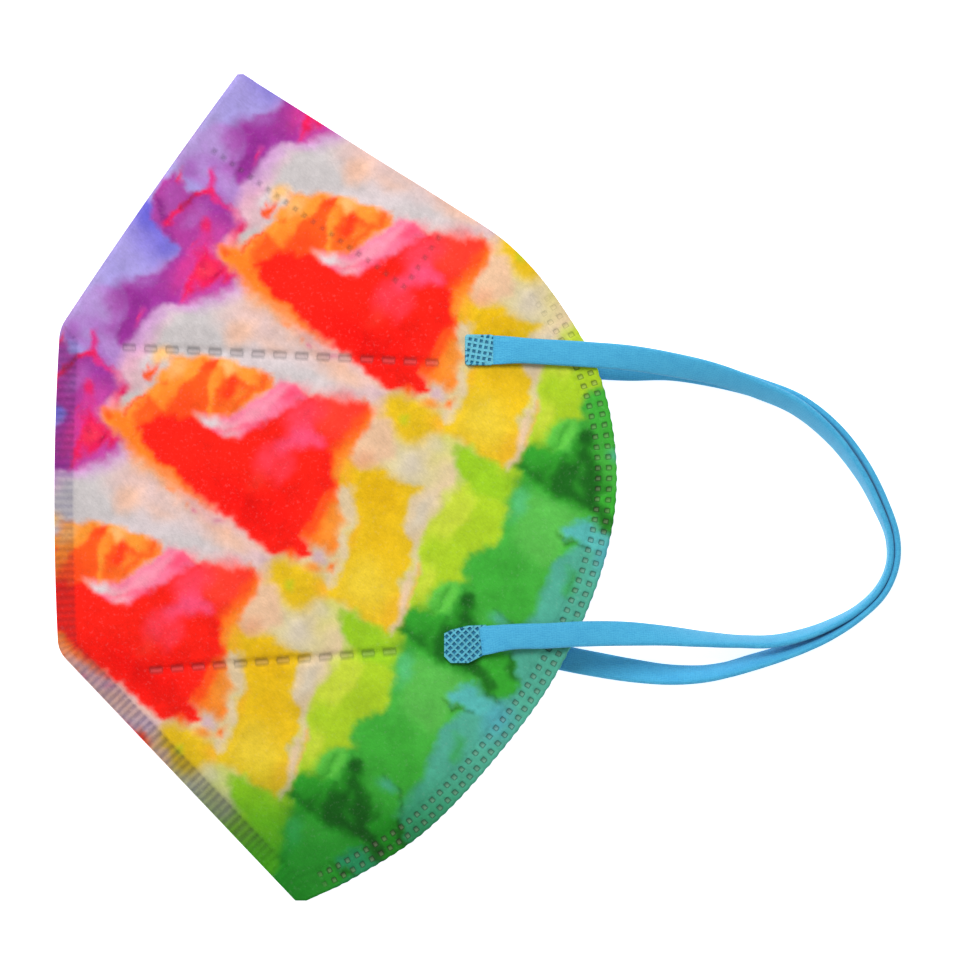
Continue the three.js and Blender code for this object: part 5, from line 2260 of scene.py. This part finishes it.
@dataclass
class EarLoop:
    """One flat elastic strap along the construction's route: x, y, z and roll of each point."""

    node: str
    route: tuple[tuple[float, float, float, float], ...]
    landings: tuple[Plane, Plane]
    width: float = 4.9
    thickness: float = 1.15
    step: float = 0.9
    crown: float = 0.12
    flare: float = 5.5
    flare_length: float = 7.0
    pressed: float = 0.2
    press_length: float = 4.5
    curve_steps: int = 12
    corners: int = 5
    reach: float = 0.8

    def centre_line(self) -> tuple[Polyline, Array]:
        """The strap's middle line, and its roll along it.

        Returns:
            The line, and the roll in radians at each of its points.
        """
        route = np.array(self.route)
        for row, landing in zip((0, -1), self.landings):
            side = 1 if landing.normal.z > 0 else -1
            route[row, 2] = landing.height(*route[row, :2]) + side * self.pressed / 2
        line = catmull_rom(route[:, :3], self.curve_steps, 0.5)
        rolls = np.interp(np.linspace(0, len(route) - 1, len(line)), np.arange(len(route)), route[:, 3])
        return Polyline(line), np.radians(rolls)

    def section(self, width: float, thickness: float) -> list[Point]:
        """The strap's section: slightly crowned, with round edges.

        Args:
            width, thickness: its width, and its thickness at the edges.

        Returns:
            The heights and the places across the strap of its points.
        """
        ring = []
        radius = thickness / 2
        flat = width / 2 - radius
        for side in (1, -1):
            for angle in (math.pi / 2 - math.pi * k / self.corners for k in range(self.corners + 1)):
                ring.append((side * math.sin(angle) * radius, side * (flat + math.cos(angle) * radius)))
            for share in (0.5, 0.0, -0.5):
                crown = self.crown * (1 - share * share) * thickness / self.thickness
                ring.append((-side * (radius + crown), side * share * flat))
        return ring

    def rings(self, line: Polyline, places: Array, rolls: Array) -> Array:
        """The strap's sections along its line, flatter and wider at both ends.

        Args:
            line: the middle line.
            places: the sections' places along it.
            rolls: how much each section is rolled, in radians.

        Returns:
            The sections' points, ring by ring.
        """
        to_end = np.minimum(places, line.length - places)
        widths = mix(self.flare, self.width, ease(to_end / self.flare_length))
        thicknesses = mix(self.pressed, self.thickness, ease(to_end / self.press_length))
        rings = []
        for k, (centre, tangent) in enumerate(zip(line.at(places), line.directions(places, self.reach))):
            side = np.cross(tangent, (0.0, 0.0, 1.0))
            side /= np.linalg.norm(side)
            face = np.cross(side, tangent) * math.cos(rolls[k]) + side * math.sin(rolls[k])
            edge = np.cross(tangent, face)
            section = self.section(widths[k], thicknesses[k])
            rings.append([centre + face * high + edge * wide for high, wide in section])
        return np.array(rings)

    def build(self) -> bpy.types.Object:
        """Returns:
            The strap.
        """
        line, rolls = self.centre_line()
        count = int(line.length / self.step)
        places = np.linspace(0, line.length, count)
        rings = self.rings(line, places, np.interp(places, line.lengths, rolls))
        size = rings.shape[1]
        faces = [tuple(range(size))[::-1], tuple((count - 1) * size + k for k in range(size))]
        for row in range(0, (count - 1) * size, size):
            for k in range(size):
                a, b = row + k, row + (k + 1) % size
                faces.append((a, b, b + size, a + size))
        strap = smooth_object(self.node + "_strap", rings.reshape(-1, 3), faces)
        girth = np.array([wide for _, wide in self.section(self.width, self.thickness)])
        write_uv(strap.data, "strap", np.column_stack([np.repeat(places, size), np.tile(girth, count)]) * MM)
        strap.data.materials.append(KnittedElastic().material())
        centres = line.at(places)
        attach(strap, BODY)
        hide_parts(self.node)
        log.info("%s: %.1f mm long", self.node, line.length)
        return strap


NEAR_ROUTE: tuple[tuple[float, float, float, float], ...] = (
    (30.3, 26.1, 14, 0), (34.6, 26.05, 13.7, 0), (40, 25.75, 13.3, 0), (48, 25.3, 12.5, 0),
    (56, 24.7, 11.2, 10), (64.5, 23.4, 9.4, 24), (73, 21.6, 7.7, 38), (81, 18.8, 6.2, 49),
    (88.65, 15.3, 4.8, 56), (95.65, 9.35, 3.5, 65), (100.95, 2.35, 2.9, 74), (104.1, -3.6, 2.6, 80),
    (106.35, -9.4, 2.55, 87), (106.45, -14.8, 2.55, 90), (104.35, -19.5, 2.55, 88), (100.2, -23.55, 2.6, 84),
    (94.9, -26.45, 2.7, 77), (89.9, -28.3, 3, 72), (84, -29.55, 3.6, 69), (77, -29.5, 4.8, 69),
    (70.3, -29, 6.4, 60), (63, -28.3, 8.4, 44), (55.7, -27.9, 10.3, 22), (47.4, -27.9, 12.1, 4),
    (40, -28.25, 13, 0), (34, -28.4, 13.45, 0), (27.9, -29.2, 13.9, 0),
)
FAR_ROUTE: tuple[tuple[float, float, float, float], ...] = (
    (30.3, 25.9, 0.9, 0), (34.6, 25.3, 0.8, 0), (40, 24.4, 0.75, 0), (48, 23.4, 0.7, 0), (56, 22.9, 0.8, 2),
    (64.5, 22.9, 1.25, 14), (73, 21.4, 1.8, 30), (81.2, 19.1, 2.2, 44), (88.9, 16.4, 2.5, 58),
    (95.8, 11.5, 2.6, 70), (101.3, 5, 2.6, 80), (105.8, -3.4, 2.5, 88), (107.8, -9.6, 2.5, 90),
    (107.7, -14.9, 2.5, 90), (105.4, -20.3, 2.5, 88), (100.5, -24.9, 2.55, 82), (94.8, -28.4, 2.6, 74),
    (89.8, -30.5, 2.6, 66), (84.9, -32.2, 2.6, 61), (80, -33.7, 2.5, 58), (75.1, -35.1, 2.5, 60),
    (70.3, -35.9, 2.4, 54), (64, -36, 2.15, 42), (57.5, -35.3, 1.75, 28), (50.8, -34.2, 1.25, 14),
    (44, -32.9, 0.85, 4), (34, -30.4, 0.8, 0), (27.9, -29.5, 0.9, 0),
)


# ---------------------------------------------------------------- studio


@dataclass(frozen=True)
class Studio:
    """Camera, lights and table."""

    centre: Point
    camera_height: float = 1000.0
    frame_width: float = 184.0
    subject_height: float = 5.0
    floor_size: float = 3000.0
    floor_height: float = -0.02
    sky: float = 0.49
    key: float = 7.9
    key_size: float = 420.0
    key_place: Triple = (-220.0, 460.0, 880.0)
    key_aim: Triple = (20.0, 0.0, 0.0)

    def build(self) -> None:
        """Places the camera straight above, a soft key light up left, and the table."""
        scene = bpy.context.scene
        camera = bpy.data.objects.new("camera", bpy.data.cameras.new("camera"))
        camera.location = Vector((*self.centre, self.camera_height)) * MM
        distance = self.camera_height - self.subject_height
        camera.data.lens = camera.data.sensor_width * distance / self.frame_width
        scene.collection.objects.link(camera)
        scene.camera = camera
        self.light()
        deselect()
        bpy.ops.mesh.primitive_plane_add(size=self.floor_size * MM, location=(0, 0, self.floor_height * MM))
        floor = bpy.context.object
        floor.name = "floor"
        bpy.ops.object.transform_apply(location=True)
        floor.data.materials.append(PaleFloor().material())
        scene.view_settings.view_transform = "Standard"

    def light(self) -> None:
        """An even white sky and one wide key light."""
        world = bpy.data.worlds.new("studio_sky")
        world.use_nodes = True
        sky = world.node_tree.nodes["Background"]
        sky.inputs["Color"].default_value = (1, 1, 1, 1)
        sky.inputs["Strength"].default_value = self.sky
        bpy.context.scene.world = world
        lamp = bpy.data.lights.new("key", "AREA")
        lamp.energy = self.key
        lamp.size = self.key_size * MM
        key = bpy.data.objects.new("key", lamp)
        key.location = [place * MM for place in self.key_place]
        aim = Vector([place * MM for place in self.key_aim]) - key.location
        key.rotation_euler = aim.to_track_quat("-Z", "Y").to_euler()
        bpy.context.scene.collection.objects.link(key)


# ---------------------------------------------------------------- the whole


def main() -> None:
    """Builds the pieces in order around the frame."""
    logging.basicConfig(level=logging.INFO, format="%(name)s: %(message)s")
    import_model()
    Studio(centre=(27.8, 1.4)).build()
    for side, route in (("near", NEAR_ROUTE), ("far", FAR_ROUTE)):
        pads = (
            PressedPad(side + "_upper_pad", UPPER_SIDES, waffle_turn=-10, pitch=1.07, bar=0.42, border=0.45),
            PressedPad(side + "_lower_pad", LOWER_SIDES, waffle_turn=45, pitch=1.04, bar=0.27, border=0.18),
        )
        landings = (pads[0].top(), pads[1].top())
        for piece in (EarLoop(side + "_ear_loop", route, landings), *pads):
            log.info("made %s", piece.build().name)
    low, high = (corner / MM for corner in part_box("folded_shell"))
    outline = ShellOutline(half_length=(high.y - low.y) / 2, half_width=(high.x - low.x) / 2)
    log.info("made %s", FoldedShell(outline, top=high.z).build().name)


if __name__ == "__main__":
    main()
